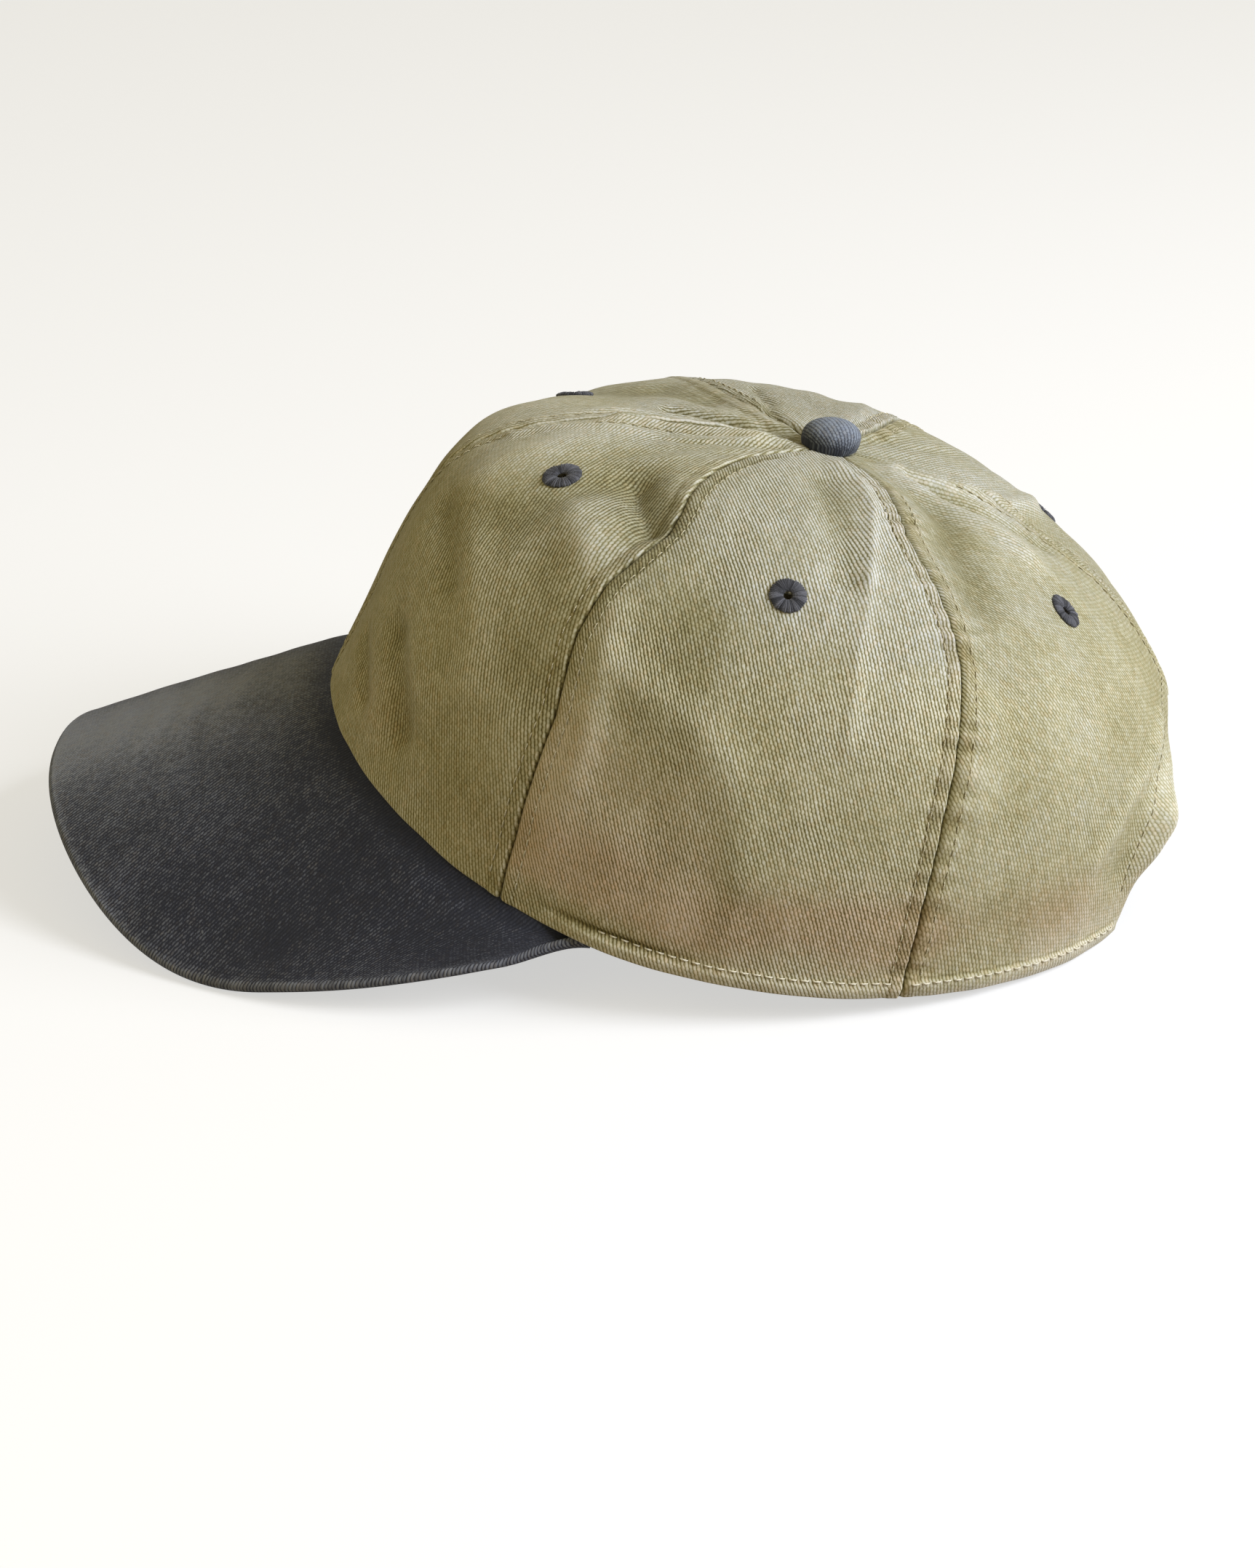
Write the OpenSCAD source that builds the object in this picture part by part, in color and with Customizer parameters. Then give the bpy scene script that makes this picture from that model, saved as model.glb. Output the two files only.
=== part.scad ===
// Six-panel soft baseball cap at rest on a level surface, in millimetres.
// +Z is up, the visor points towards -Y and the wearer's left is +X.
// The crown is a family of curves that run from the top button down to the hem.
// phi is the angle round the head: 0 at the front, 90 at the left ear, 180 at the back.
// s runs down a curve: 0 at the button, 1 at the hem.

/* [Crown] */
// Half of the crown's width at the hem, ear to ear
crown_half_w = 84.5; // [78:0.5:92]
// From the crown's middle to the hem at the front
crown_front = 93.5; // [86:0.5:100]
// From the crown's middle to the hem at the back
crown_back = 99.5; // [92:0.5:106]
// Height of the top above the hem at the ears
crown_h = 93; // [84:0.5:104]
// How far the top sits behind the middle
top_back = 6; // [0:0.5:12]
// How far the cap leans back on the visor's edges, in degrees
lean = 11.5; // [9:0.1:13]
// Rise of the hem in the middle of the visor seam
hem_rise_front = 16.5; // [12:0.5:20]
// Rise of the hem in the middle of the back
hem_rise_back = 9.5; // [8:0.5:11]
// Thickness of the crown's cloth
cloth = 1; // [0.8:0.05:1.1]
// Angle of the seams between the front and side panels
seam_front = 60; // [56:0.5:64]
// Angle of the seams between the side and rear panels
seam_rear = 115; // [111:0.5:119]
// Length of the tops of the curves: front, side and back, as shares of the reach
reach = [0.98, 0.81, 0.79];
// Rise of the tops of the curves: front, side and back
rise = [-5, 6.5, -5];
// Height of the shoulders: front, side and back, as shares of the height
shoulder = [0.72, 0.77, 0.56];
// Swell of the walls beyond the hem: front, side and back
swell = [-13.5, 2.5, 5.5];

/* [Visor] */
// Angle of the visor's ends round the hem
visor_end = 75; // [72:0.5:78]
// Reach of the visor in front of the hem
visor_reach = 59; // [52:0.5:66]
// Level of the visor's tip, from the hem at the ears
visor_tip_z = -17; // [-20:0.5:-12]
// Droop of the visor's sides
visor_droop = 54; // [48:0.5:58]
// Extra hang of the visor's edge just before its ends
visor_sag = 5.2; // [4:0.2:5.6]
// Widest point of the visor as a share of its width at the ends
visor_flare = 1.07; // [1.03:0.01:1.12]
// Squareness of the visor's outline, 2 for an ellipse
visor_square = 2.2; // [2:0.05:2.6]
// Thickness of the visor's covers
visor_cloth = 0.8; // [0.6:0.05:0.9]
// Thickness of the visor's board
visor_board_t = 1.3; // [1:0.1:1.6]

/* [Rear opening] */
// Angle of the opening's lower corners
arch_end = 154; // [151:0.5:157]
// Place of the opening's top on the rear seam
arch_top = 0.645; // [0.6:0.005:0.7]
// Width of the strap
strap_w = 18; // [14:0.5:19]
// Thickness of the strap
strap_t = 1.2; // [1:0.1:1.3]
// Radius of the strap's arc
strap_r = 72.2; // [72:0.1:72.4]
// Level of the strap's lower edge, from the hem at the ears
strap_z = 11.5; // [11:0.5:13]
// Place of the clasp along the strap, in degrees
clasp_turn = -13; // [-14:0.5:-8]

/* [Trim] */
// Diameter of the top button
button_d = 13.2; // [12:0.2:16]
// Height of the top button
button_h = 6.2; // [5:0.1:7]
// Outer diameter of an eyelet
eyelet_d = 8; // [7:0.2:9.6]
// Diameter of an eyelet's hole
eyelet_hole = 2.2; // [1.6:0.1:3]
// Places of the eyelets on the panels' middle lines: front, side and rear
eyelet_s = [0.34, 0.441, 0.391];
// Height of the sweatband
sweatband_h = 32; // [26:0.5:36]
// Width of the seam tapes
tape_w = 14; // [10:0.5:16]

/* [Hidden] */
$fn = 64;

khaki = "#9b9064";
charcoal = "#47484d";
tape_grey = "#5a5850";
band_khaki = "#8a8160";
brassy = "#a58a52";
steel = "#b4b6b8";

// The start of the panels round the button's post
s_hole = 0.012;
// Half of the gap between two panels at a seam, in degrees
seam_gap = 0.12;
// Depths below the crown's outer face
tape_in = 1.3;
tape_t = 0.6;
band_t = 1.2;
// Middle angles of the panels
mid_front = seam_front/2;
mid_side = (seam_front + seam_rear)/2;
mid_rear = (seam_rear + 180)/2;
// Centre of the strap's arc, behind the crown's middle
strap_y = crown_back - 76;
strap_mid_z = strap_z + strap_w/2;
arch_half = 180 - arch_end;
arch_rise = 1 - arch_top;

function sq(v) = v*v;

// Rises smoothly from 0 at a to 1 at b
function ease(a, b, v) =
    let (t = min(max((v - a)/(b - a), 0), 1))
    t*t*(3 - 2*t);

// One value of three, front, side and back, for the angle phi
function around(v, phi) =
    v[0]*(cos(phi) > 0 ? sq(cos(phi)) : 0)
    + v[1]*sq(sin(phi))
    + v[2]*(cos(phi) < 0 ? sq(cos(phi)) : 0);

function hem_z(phi) =
    let (t = (cos(phi) - cos(88))/(1 - cos(88)))
    t > 0 ? hem_rise_front*t*t : cos(phi) < 0 ? hem_rise_back*sq(cos(phi)) : 0;

function hem(phi) = [
    crown_half_w*sin(phi),
    -(cos(phi) > 0 ? crown_front : crown_back)*cos(phi),
    hem_z(phi)
];

// The crown's outer face: a cubic curve from the top to the hem, flattened under the button
function crown(phi, s) =
    let (
        h = hem(phi),
        v = [h[0], h[1] - top_back],
        far = norm(v),
        a = 3*s*sq(1 - s),
        b = 3*sq(s)*(1 - s),
        c = s*s*s,
        r = a*around(reach, phi)*far + b*(far + around(swell, phi)) + c*far,
        drop = h[2] - crown_h,
        z = a*around(rise, phi) + b*drop*(1 - around(shoulder, phi)) + c*drop,
        flat = 1 - exp(-sq(r/9))
    )
    [r*v[0]/far, top_back + r*v[1]/far, crown_h + z*flat];

function crown_normal(phi, s) =
    let (
        along = crown(phi + 0.4, s) - crown(phi - 0.4, s),
        down = crown(phi, s + 0.004) - crown(phi, s - 0.004),
        n = cross(down, along)
    )
    n/norm(n);

// A point at a depth below the crown's outer face
function under(phi, s, depth) = crown(phi, s) - depth*crown_normal(phi, s);

// The share s at a height above the hem, measured along the cloth
function s_above(phi, h) =
    let (
        v1 = norm(crown(phi, 1) - crown(phi, 0.99))*100,
        g1 = 1 - h/v1,
        m = (1 + g1)/2,
        v2 = norm(crown(phi, m + 0.005) - crown(phi, m - 0.005))*100
    )
    1 - h/v2;

// The distance from the middle line through the top, used for the tapes' widths
function ring_r(phi, s) = norm([crown(phi, s)[0], crown(phi, s)[1] - top_back]);

// The visor's outer edge, q from -90 at one end to 90 at the other
function visor_edge(q) =
    let (
        c = hem(visor_end),
        wide = c[0]*visor_flare,
        deep = crown_front + visor_reach + c[1],
        e = 2/visor_square,
        t = abs(sin(q)),
        sag = visor_sag*ease(59.4, 79.2, abs(q))*(1 - ease(81.9, 89.5, abs(q)))
    )
    [
        wide*sign(q)*pow(t, e)*(1 + (1/visor_flare - 1)*pow(t, 20)),
        c[1] - deep*pow(abs(cos(q)), e),
        visor_tip_z + (c[2] - visor_tip_z)*t*t - visor_droop*t*t*(1 - pow(t, 6)) - sag
    ];

// The visor's middle face, u across and t from the hem to the edge
function visor(u, t) =
    let (h = hem(visor_end*u), e = visor_edge(90*u), p = h + (e - h)*t)
    [p[0], p[1], p[2] + 3*t*(1 - t)*(1 - u*u)];

function visor_normal(u, t) =
    let (
        along = visor(u + 0.004, t) - visor(u - 0.004, t),
        out = visor(u, t + 0.01) - visor(u, t - 0.01),
        n = cross(out, along)
    )
    n/norm(n);

function visor_at(u, t, lift) = visor(u, t) + lift*visor_normal(u, t);

visor_half = visor_board_t/2 + visor_cloth + 0.1;
visor_us = [for (i = [-16:16]) 0.985*sin(90*i/16)*0.5 + 0.985*i/32];
visor_ts = [0.008, 0.2, 0.4, 0.6, 0.8, 0.93, 0.965, 1];
board_us = [for (u = visor_us) 0.96*u];
board_ts = [0.03, 0.2, 0.4, 0.6, 0.8, 0.93];

function lean_back(p) = [
    p[0],
    p[1]*cos(lean) + p[2]*sin(lean),
    -p[1]*sin(lean) + p[2]*cos(lean)
];

// The lowest points of the hem and the visor stand on the surface
low_points = [
    for (phi = [92:2:arch_end]) for (d = [0, cloth]) lean_back(under(phi, 1, d))[2],
    for (u = visor_us) for (t = visor_ts) lean_back(visor_at(u, t, -visor_half))[2],
    for (u = visor_us) for (t = visor_ts) lean_back(visor_at(u, t, visor_half))[2]
];
front_points = [
    for (u = visor_us) for (d = [-visor_half, visor_half]) lean_back(visor_at(u, 1, d))[1]
];
back_points = [
    for (phi = [140:2:180]) for (s = [0.3:0.02:arch_top]) lean_back(crown(phi, s))[1]
];
rest_up = -min(low_points);
rest_y = -(min(front_points) + max(back_points))/2;

// Places a shape from the cap's own axes to the rest position
module worn_axes() {
    translate([0, rest_y, rest_up])
        rotate([-lean, 0, 0])
            children();
}

// Places a shape on the crown, with its Z axis along the outward normal
module on_crown(phi, s, depth) {
    n = crown_normal(phi, s);
    worn_axes()
        translate(under(phi, s, depth))
            rotate([0, acos(n[2]), atan2(n[1], n[0])])
                children();
}

// Places a shape on the strap's arc, with its Y axis pointing outwards
module on_strap(turn) {
    worn_axes()
        translate([0, strap_y, strap_mid_z])
            rotate([0, 0, -turn])
                children();
}

// A curved bar about the strap's centre, from radius r0 to r1 and level z0 to z1
module arc_bar(from, to, r0, r1, z0, z1) {
    on_strap(0)
        rotate([0, 0, 90 - to])
            rotate_extrude(angle = to - from, $fn = 180)
                translate([r0, z0])
                    square([r1 - r0, z1 - z0]);
}

// A closed sheet between an outer and an inner grid of points
module sheet(outer, inner) {
    ni = len(outer);
    nj = len(outer[0]);
    half = ni*nj;
    points = [
        for (i = [0:ni - 1]) for (j = [0:nj - 1]) outer[i][j],
        for (i = [0:ni - 1]) for (j = [0:nj - 1]) inner[i][j]
    ];
    faces = [
        for (i = [0:ni - 2]) for (j = [0:nj - 2])
            each [
                [i*nj + j, (i + 1)*nj + j, (i + 1)*nj + j + 1],
                [i*nj + j, (i + 1)*nj + j + 1, i*nj + j + 1],
                [half + i*nj + j, half + (i + 1)*nj + j + 1, half + (i + 1)*nj + j],
                [half + i*nj + j, half + i*nj + j + 1, half + (i + 1)*nj + j + 1]
            ],
        for (i = [0:ni - 2])
            each [
                [i*nj, half + i*nj, half + (i + 1)*nj],
                [i*nj, half + (i + 1)*nj, (i + 1)*nj],
                [i*nj + nj - 1, half + (i + 1)*nj + nj - 1, half + i*nj + nj - 1],
                [i*nj + nj - 1, (i + 1)*nj + nj - 1, half + (i + 1)*nj + nj - 1]
            ],
        for (j = [0:nj - 2])
            each [
                [j, half + j + 1, half + j],
                [j, j + 1, half + j + 1],
                [half - nj + j, 2*half - nj + j, 2*half - nj + j + 1],
                [half - nj + j, 2*half - nj + j + 1, half - nj + j + 1]
            ]
    ];
    worn_axes()
        polyhedron(points, faces, convexity = 6);
}

// A panel over a list of columns, each with its angle and the share where it ends
module panel_sheet(columns, rows) {
    function grid(depth) = [
        for (c = columns)
            [for (j = [0:rows]) under(c[0], s_hole + (c[1] - s_hole)*j/rows, depth)]
    ];
    sheet(grid(0), grid(cloth));
}

// The columns of a panel with a level hem
function plain_columns(from, to, n) = [
    for (i = [0:n]) [from + (to - from)*i/n, 1]
];

// The columns of a rear panel, which ends on the rear opening's curve
function rear_columns() = [
    for (i = [0:6])
        [seam_rear + seam_gap + (arch_end - seam_rear - seam_gap)*i/7, 1],
    for (i = [0:9])
        let (half = arch_half - seam_gap)
        [180 - seam_gap - half*cos(10*i), 1 - arch_rise*sin(10*i)]
];

function flip(columns) = [
    for (i = [len(columns) - 1:-1:0]) [-columns[i][0], columns[i][1]]
];

// A panel's eyelet hole
module eyelet_bore(phi, s) {
    on_crown(phi, s, 0)
        cylinder(h = 8, r = eyelet_hole/2 + 0.6, center = true);
}

module front_panel(side) {
    color(khaki)
        difference() {
            panel_sheet(
                side > 0
                    ? plain_columns(seam_gap, seam_front - seam_gap, 12)
                    : plain_columns(seam_gap - seam_front, -seam_gap, 12),
                14
            );
            eyelet_bore(side*mid_front, eyelet_s[0]);
        }
}

module side_panel(side) {
    color(khaki)
        difference() {
            panel_sheet(
                side > 0
                    ? plain_columns(seam_front + seam_gap, seam_rear - seam_gap, 11)
                    : plain_columns(seam_gap - seam_rear, -seam_front - seam_gap, 11),
                14
            );
            eyelet_bore(side*mid_side, eyelet_s[1]);
        }
}

module rear_panel(side) {
    color(khaki)
        difference() {
            panel_sheet(side > 0 ? rear_columns() : flip(rear_columns()), 14);
            eyelet_bore(side*mid_rear, eyelet_s[2]);
        }
}

// A sewn eyelet: a low ring of thread outside with a sleeve through the cloth
module eyelet(phi, s) {
    hole = eyelet_hole/2;
    color(charcoal)
        on_crown(phi, s, 0)
            union() {
                difference() {
                    translate([0, 0, 0.2])
                        cylinder(h = 0.6, r = eyelet_d/2);
                    cylinder(h = 4, r = hole, center = true);
                }
                difference() {
                    translate([0, 0, -1.4])
                        cylinder(h = 1.8, r = hole + 0.5);
                    cylinder(h = 8, r = hole, center = true);
                }
            }
}

// A tape inside a seam, from beside the button's washer down to the share s1
module tape(phi, s1) {
    s0 = 0.05;
    rows = 13;
    function half(s) = min(28, (tape_w/2)/ring_r(phi, s)*180/PI);
    function grid(depth) = [
        for (k = [-1, 0, 1])
            [
                for (j = [0:rows])
                    let (s = s0 + (s1 - s0)*j/rows)
                    under(phi + k*half(s), s, depth)
            ]
    ];
    color(tape_grey)
        sheet(grid(tape_in), grid(tape_in + tape_t));
}

// The band inside the hem stands off further at the back, where the strap's ends run
function band_in(phi) =
    let (k = max(0, min(1, (abs(phi) - 88)/28)))
    2.6 + 3.3*k*k*(3 - 2*k);

module sweatband() {
    end = arch_end - 1.5;
    n = 56;
    function grid(extra) = [
        for (i = [0:n])
            let (
                phi = -end + 2*end*i/n,
                s1 = s_above(phi, 1.6),
                s0 = s_above(phi, 1.6 + sweatband_h)
            )
            [for (j = [0:3]) under(phi, s0 + (s1 - s0)*j/3, band_in(phi) + extra)]
    ];
    color(band_khaki)
        sheet(grid(0), grid(band_t));
}

module care_label() {
    phi = 48;
    color("#e8e4d8")
        on_crown(phi, s_above(phi, 20), band_in(phi) + band_t + 1.2)
            cube([24, 15, 0.4], center = true);
}

// A strip of cloth that faces the rear opening's edge inside a rear panel
module arch_binding(side) {
    wide_a = 5;
    wide_s = 0.05;
    function edge_point(e, k, depth) =
        under(
            side*(180 - seam_gap - (arch_half + 0.2 + k*wide_a)*cos(e)),
            1 - (arch_rise + 0.002 + k*wide_s)*sin(e) - 0.012*cos(e),
            depth
        );
    steps = [for (i = [0:14]) side > 0 ? 90*i/14 : 90 - 90*i/14];
    function grid(depth) = [
        for (e = steps) [for (k = [1, 0.5, 0]) edge_point(e, k, depth)]
    ];
    color(tape_grey)
        sheet(grid(tape_in), grid(tape_in + tape_t));
}

// The covers meet at the rim, outside the edge of the board
module visor_cover(upper) {
    function near(t) = t > 0.95 ? 0.05 : visor_board_t/2 + 0.1;
    function grid(lift, inner) = [
        for (u = visor_us)
            [
                for (t = visor_ts)
                    let (rim = inner ? (abs(u) > 0.97 ? 0.05 : near(t)) : visor_half)
                    visor_at(u, t, lift*rim)
            ]
    ];
    color(charcoal)
        if (upper)
            sheet(grid(1, false), grid(1, true));
        else
            sheet(grid(-1, true), grid(-1, false));
}

module visor_board() {
    function grid(lift) = [
        for (u = board_us) [for (t = board_ts) visor_at(u, t, lift*visor_board_t/2)]
    ];
    color("#d9d6cc")
        sheet(grid(1), grid(-1));
}

module at_button() {
    worn_axes()
        translate([0, top_back, crown_h])
            children();
}

// A dome with a straight rim, radius r and height h above the level z0
module dome(r, h, z0) {
    ball = (sq(r) + sq(h - 1))/(2*(h - 1));
    intersection() {
        translate([0, 0, h - ball])
            sphere(r = ball);
        translate([0, 0, z0])
            cylinder(h = h, r = r);
    }
}

module button_cover() {
    color(charcoal)
        at_button()
            difference() {
                dome(button_d/2, button_h, 0.45);
                dome(button_d/2 - 0.8, button_h - 0.8, 0);
            }
}

module button_shell() {
    color(steel)
        at_button()
            difference() {
                dome(button_d/2 - 0.9, button_h - 0.9, 0.45);
                dome(button_d/2 - 1.4, button_h - 1.4, 0);
            }
}

module button_rivet() {
    color(steel)
        at_button() {
            translate([0, 0, 0.5])
                cylinder(h = 0.8, r = button_d/2 - 2.2);
            translate([0, 0, -2.4])
                cylinder(h = 3, r = 1.5);
            translate([0, 0, -3])
                cylinder(h = 0.7, r = 2.6);
        }
}

module button_washer() {
    color(steel)
        at_button()
            translate([0, 0, -2.25])
                difference() {
                    cylinder(h = 0.8, r = 6);
                    cylinder(h = 4, r = 1.6, center = true);
                }
}

// Radii of the closure's layers, from the inside outwards
strap_in = strap_r - strap_t/2;
strap_out = strap_r + strap_t/2;
plate_in = strap_in - 1.15;
plate_out = strap_in - 0.35;
wall_z = strap_w/2 + 0.4;
pin_r = strap_out + 2.1;
pin_turn = clasp_turn + 4.5;
bar_turn = clasp_turn - 8.5;
bar_r = strap_out + 1.75;

module strap() {
    color(charcoal)
        arc_bar(-42, 54, strap_in, strap_out, -strap_w/2, strap_w/2);
}

// A short cloth loop that holds the clasp's bar, sewn inside the right rear panel
module clasp_tab() {
    z = strap_w/2 - 0.4;
    color(charcoal)
        difference() {
            union() {
                arc_bar(-38, bar_turn, strap_out + 0.3, strap_out + 1, -z, z);
                on_strap(bar_turn)
                    translate([0, bar_r, -z])
                        cylinder(h = 2*z, r = 1.45);
            }
            on_strap(bar_turn)
                translate([0, bar_r, -z - 1])
                    cylinder(h = 2*z + 2, r = 0.75);
        }
}

// A channel with a plate inside the strap, two side walls and a bar for the tab
module clasp_frame() {
    color(brassy)
        difference() {
            union() {
                arc_bar(clasp_turn - 6.5, clasp_turn + 6.5, plate_in, plate_out,
                    -wall_z - 0.5, wall_z + 0.5);
                for (k = [0, 1])
                    arc_bar(bar_turn - 1, clasp_turn + 6.5, plate_in, pin_r + 1,
                        k*(2*wall_z + 1) - wall_z - 1, k*(2*wall_z + 1) - wall_z);
                on_strap(bar_turn)
                    translate([0, bar_r, -wall_z - 0.5])
                        cylinder(h = 2*wall_z + 1, r = 0.6);
            }
            on_strap(pin_turn)
                translate([0, pin_r, -wall_z - 2])
                    cylinder(h = 2*wall_z + 4, r = 0.75);
        }
}

module clasp_pin() {
    color(steel)
        on_strap(pin_turn)
            translate([0, pin_r, -wall_z - 1.2])
                cylinder(h = 2*wall_z + 2.4, r = 0.7);
}

// A flap that turns on the pin, with a barrel that holds the strap down
module clasp_lever() {
    z = wall_z - 0.3;
    color(brassy)
        difference() {
            union() {
                on_strap(pin_turn)
                    translate([0, pin_r, -z])
                        cylinder(h = 2*z, r = 1.6);
                arc_bar(clasp_turn - 5.5, pin_turn, pin_r + 0.3, pin_r + 1.1, -z, z);
            }
            on_strap(pin_turn)
                translate([0, pin_r, -z - 1])
                    cylinder(h = 2*z + 2, r = 0.8);
        }
}

eyelet_places = [
    ["eyelet_front_left", mid_front, eyelet_s[0]],
    ["eyelet_front_right", -mid_front, eyelet_s[0]],
    ["eyelet_side_left", mid_side, eyelet_s[1]],
    ["eyelet_side_right", -mid_side, eyelet_s[1]],
    ["eyelet_rear_left", mid_rear, eyelet_s[2]],
    ["eyelet_rear_right", -mid_rear, eyelet_s[2]]
];
tape_places = [
    ["tape_front", 0, 0.97],
    ["tape_front_left", seam_front, 0.97],
    ["tape_front_right", -seam_front, 0.97],
    ["tape_rear_left", seam_rear, 0.97],
    ["tape_rear_right", -seam_rear, 0.97],
    ["tape_rear", 180, arch_top - 0.06]
];

front_panel(1);  // front_panel_left
front_panel(-1);  // front_panel_right
side_panel(1);  // side_panel_left
side_panel(-1);  // side_panel_right
rear_panel(1);  // rear_panel_left
rear_panel(-1);  // rear_panel_right
for (e = eyelet_places)
    eyelet(e[1], e[2]);
for (t = tape_places)
    tape(t[1], t[2]);
sweatband();
care_label();
arch_binding(1);  // arch_binding_left
arch_binding(-1);  // arch_binding_right
visor_cover(true);  // visor_top_cover
visor_board();
visor_cover(false);  // visor_under_cover
button_cover();
button_shell();
button_rivet();
button_washer();
strap();
clasp_tab();
clasp_frame();
clasp_pin();
clasp_lever();
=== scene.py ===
"""Soft six-panel baseball cap at rest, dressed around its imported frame.

Sizes are in millimetres in the cap's own axes: the visor points towards -Y, +Z is up and the
wearer's left is +X. Every finished mesh is in metres in the row frame, with its object at the
origin. phi is the angle round the head in degrees, 0 at the front and 90 at the left ear, and s
runs down a curve of the crown, from 0 under the button to 1 at the hem.
"""

import logging
import math
from contextlib import contextmanager
from dataclasses import dataclass
from enum import Enum
from typing import Callable, Iterator, Sequence

import bpy
import numpy as np
from mathutils import Matrix, Vector, noise


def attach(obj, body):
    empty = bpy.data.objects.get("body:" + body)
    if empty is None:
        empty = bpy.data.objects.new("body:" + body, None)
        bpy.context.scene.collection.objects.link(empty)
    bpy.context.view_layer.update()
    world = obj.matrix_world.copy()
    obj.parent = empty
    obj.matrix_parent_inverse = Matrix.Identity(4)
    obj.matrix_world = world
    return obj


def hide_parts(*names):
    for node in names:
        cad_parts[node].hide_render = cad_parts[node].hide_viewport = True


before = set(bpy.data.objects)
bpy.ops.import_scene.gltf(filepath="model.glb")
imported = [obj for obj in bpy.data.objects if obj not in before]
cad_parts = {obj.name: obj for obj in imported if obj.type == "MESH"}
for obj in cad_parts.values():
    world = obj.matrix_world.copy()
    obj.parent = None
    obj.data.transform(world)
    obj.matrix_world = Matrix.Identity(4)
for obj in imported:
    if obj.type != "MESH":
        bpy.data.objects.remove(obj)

LOG = logging.getLogger("cap")
Array = np.ndarray
RGB = tuple[float, float, float]
MM = 0.001
# Name of the cloth's own coordinates, and the millimetres in one unit of them.
WEAVE = "weave"
WEAVE_UNIT = 100.0
# Distances from an edge that follow the sewing beside it, and the step of the plain cloth beyond.
SEWN_STEPS: tuple[float, ...] = (
    0, 0.12, 0.28, 0.45, 0.65, 0.9, 1.3, 1.8, 2.3, 2.6, 2.8, 3.0,
    3.2, 3.4, 3.6, 3.85, 4.15, 4.5, 5.0, 5.7, 6.6, 7.6, 8.7,
)
CLOTH_STEP = 1.15
# The lining side of a panel takes one row in three.
INNER_STEP = 3


def srgb(red: float, green: float, blue: float) -> RGB:
    """Turns a colour of 0 to 255 as seen on a screen into linear light."""
    def line(c: float) -> float:
        """Turns one channel into linear light."""
        c /= 255
        return c / 12.92 if c <= 0.04045 else ((c + 0.055) / 1.055) ** 2.4
    return line(red), line(green), line(blue)


def smooth(low: float, high: float, value: Array) -> Array:
    """Rises smoothly from 0 at low to 1 at high."""
    t = np.clip((np.asarray(value, float) - low) / (high - low), 0, 1)
    return t * t * (3 - 2 * t)


def bell(value: Array, width: float) -> Array:
    """A bell curve that is 1 at 0 and falls away over the width."""
    return np.exp(-(np.asarray(value, float) / width) ** 2)


def unit(v: Array) -> Array:
    """Scales vectors to length 1."""
    return v / np.maximum(np.linalg.norm(v, axis=-1, keepdims=True), 1e-12)


def cloud(points: Array, size: float, seed: float) -> Array:
    """Smooth noise of about -1 to 1 at points.

    Args:
        points: places in millimetres, with x, y and z last.
        size: size of the noise's swells in millimetres.
        seed: shift that gives another pattern.

    Returns:
        One value for each point.
    """
    flat = np.asarray(points, float).reshape(-1, 3) / size + seed
    return np.array([noise.noise(p) for p in flat.tolist()]).reshape(np.shape(points)[:-1])


def edged(low: float, high: float, rim: float, inset: float, count: int) -> Array:
    """Steps of a range whose ends are rounded edges.

    Args:
        low: where the range starts.
        high: where it ends.
        rim: length from an end to the next step.
        inset: length from an end to the even steps between.
        count: how many even steps there are.

    Returns:
        The steps in order.
    """
    even = np.linspace(low + inset, high - inset, count)
    return np.concatenate([[low, low + rim], even, [high - rim, high]])


def graded(width: float) -> Array:
    """Distances from an edge to half of a width, close together where the sewing is."""
    last = SEWN_STEPS[-1]
    count = max(2, int((width / 2 - last) / CLOTH_STEP))
    return np.concatenate([SEWN_STEPS, np.linspace(last, width / 2, count + 1)[1:]])


def path_distance(points: Array, path: Array) -> tuple[Array, Array]:
    """Distance from points to a path of straight pieces.

    Args:
        points: places, with x, y and z last.
        path: corners of the path, one in each row.

    Returns:
        The distances and the lengths along the path of the nearest places.
    """
    flat = points.reshape(-1, 3)
    best = np.full(len(flat), 1e9)
    along = np.zeros(len(flat))
    start = 0.0
    for a, b in zip(path[:-1], path[1:]):
        d = b - a
        span = float(np.linalg.norm(d))
        t = np.clip((flat - a) @ d / max(span * span, 1e-12), 0, 1)
        r = np.linalg.norm(flat - a - t[:, None] * d, axis=1)
        near = r < best
        best = np.where(near, r, best)
        along = np.where(near, start + t * span, along)
        start += span
    return best.reshape(points.shape[:-1]), along.reshape(points.shape[:-1])


class Side(Enum):
    """A side of the cap, as its wearer sees it."""

    LEFT = 1
    RIGHT = -1


class PanelKind(Enum):
    """Place of a panel in the crown."""

    FRONT = "front"
    SIDE = "side"
    REAR = "rear"


@dataclass(frozen=True)
class RestPose:
    """The cap leans back on the visor's edges: from its own axes to the row frame."""

    lean: float = 11.5
    shift_y: float = 25.9255
    shift_z: float = 10.583

    def turn(self, v: Array) -> Array:
        """Turns directions from the cap's axes to the row frame."""
        c, s = math.cos(math.radians(self.lean)), math.sin(math.radians(self.lean))
        v = np.asarray(v, float)
        return np.stack([v[..., 0], v[..., 1] * c + v[..., 2] * s, v[..., 2] * c - v[..., 1] * s], -1)

    def place(self, p: Array) -> Array:
        """Takes places in millimetres to metres in the row frame."""
        return (self.turn(p) + np.array([0, self.shift_y, self.shift_z])) * MM


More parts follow.
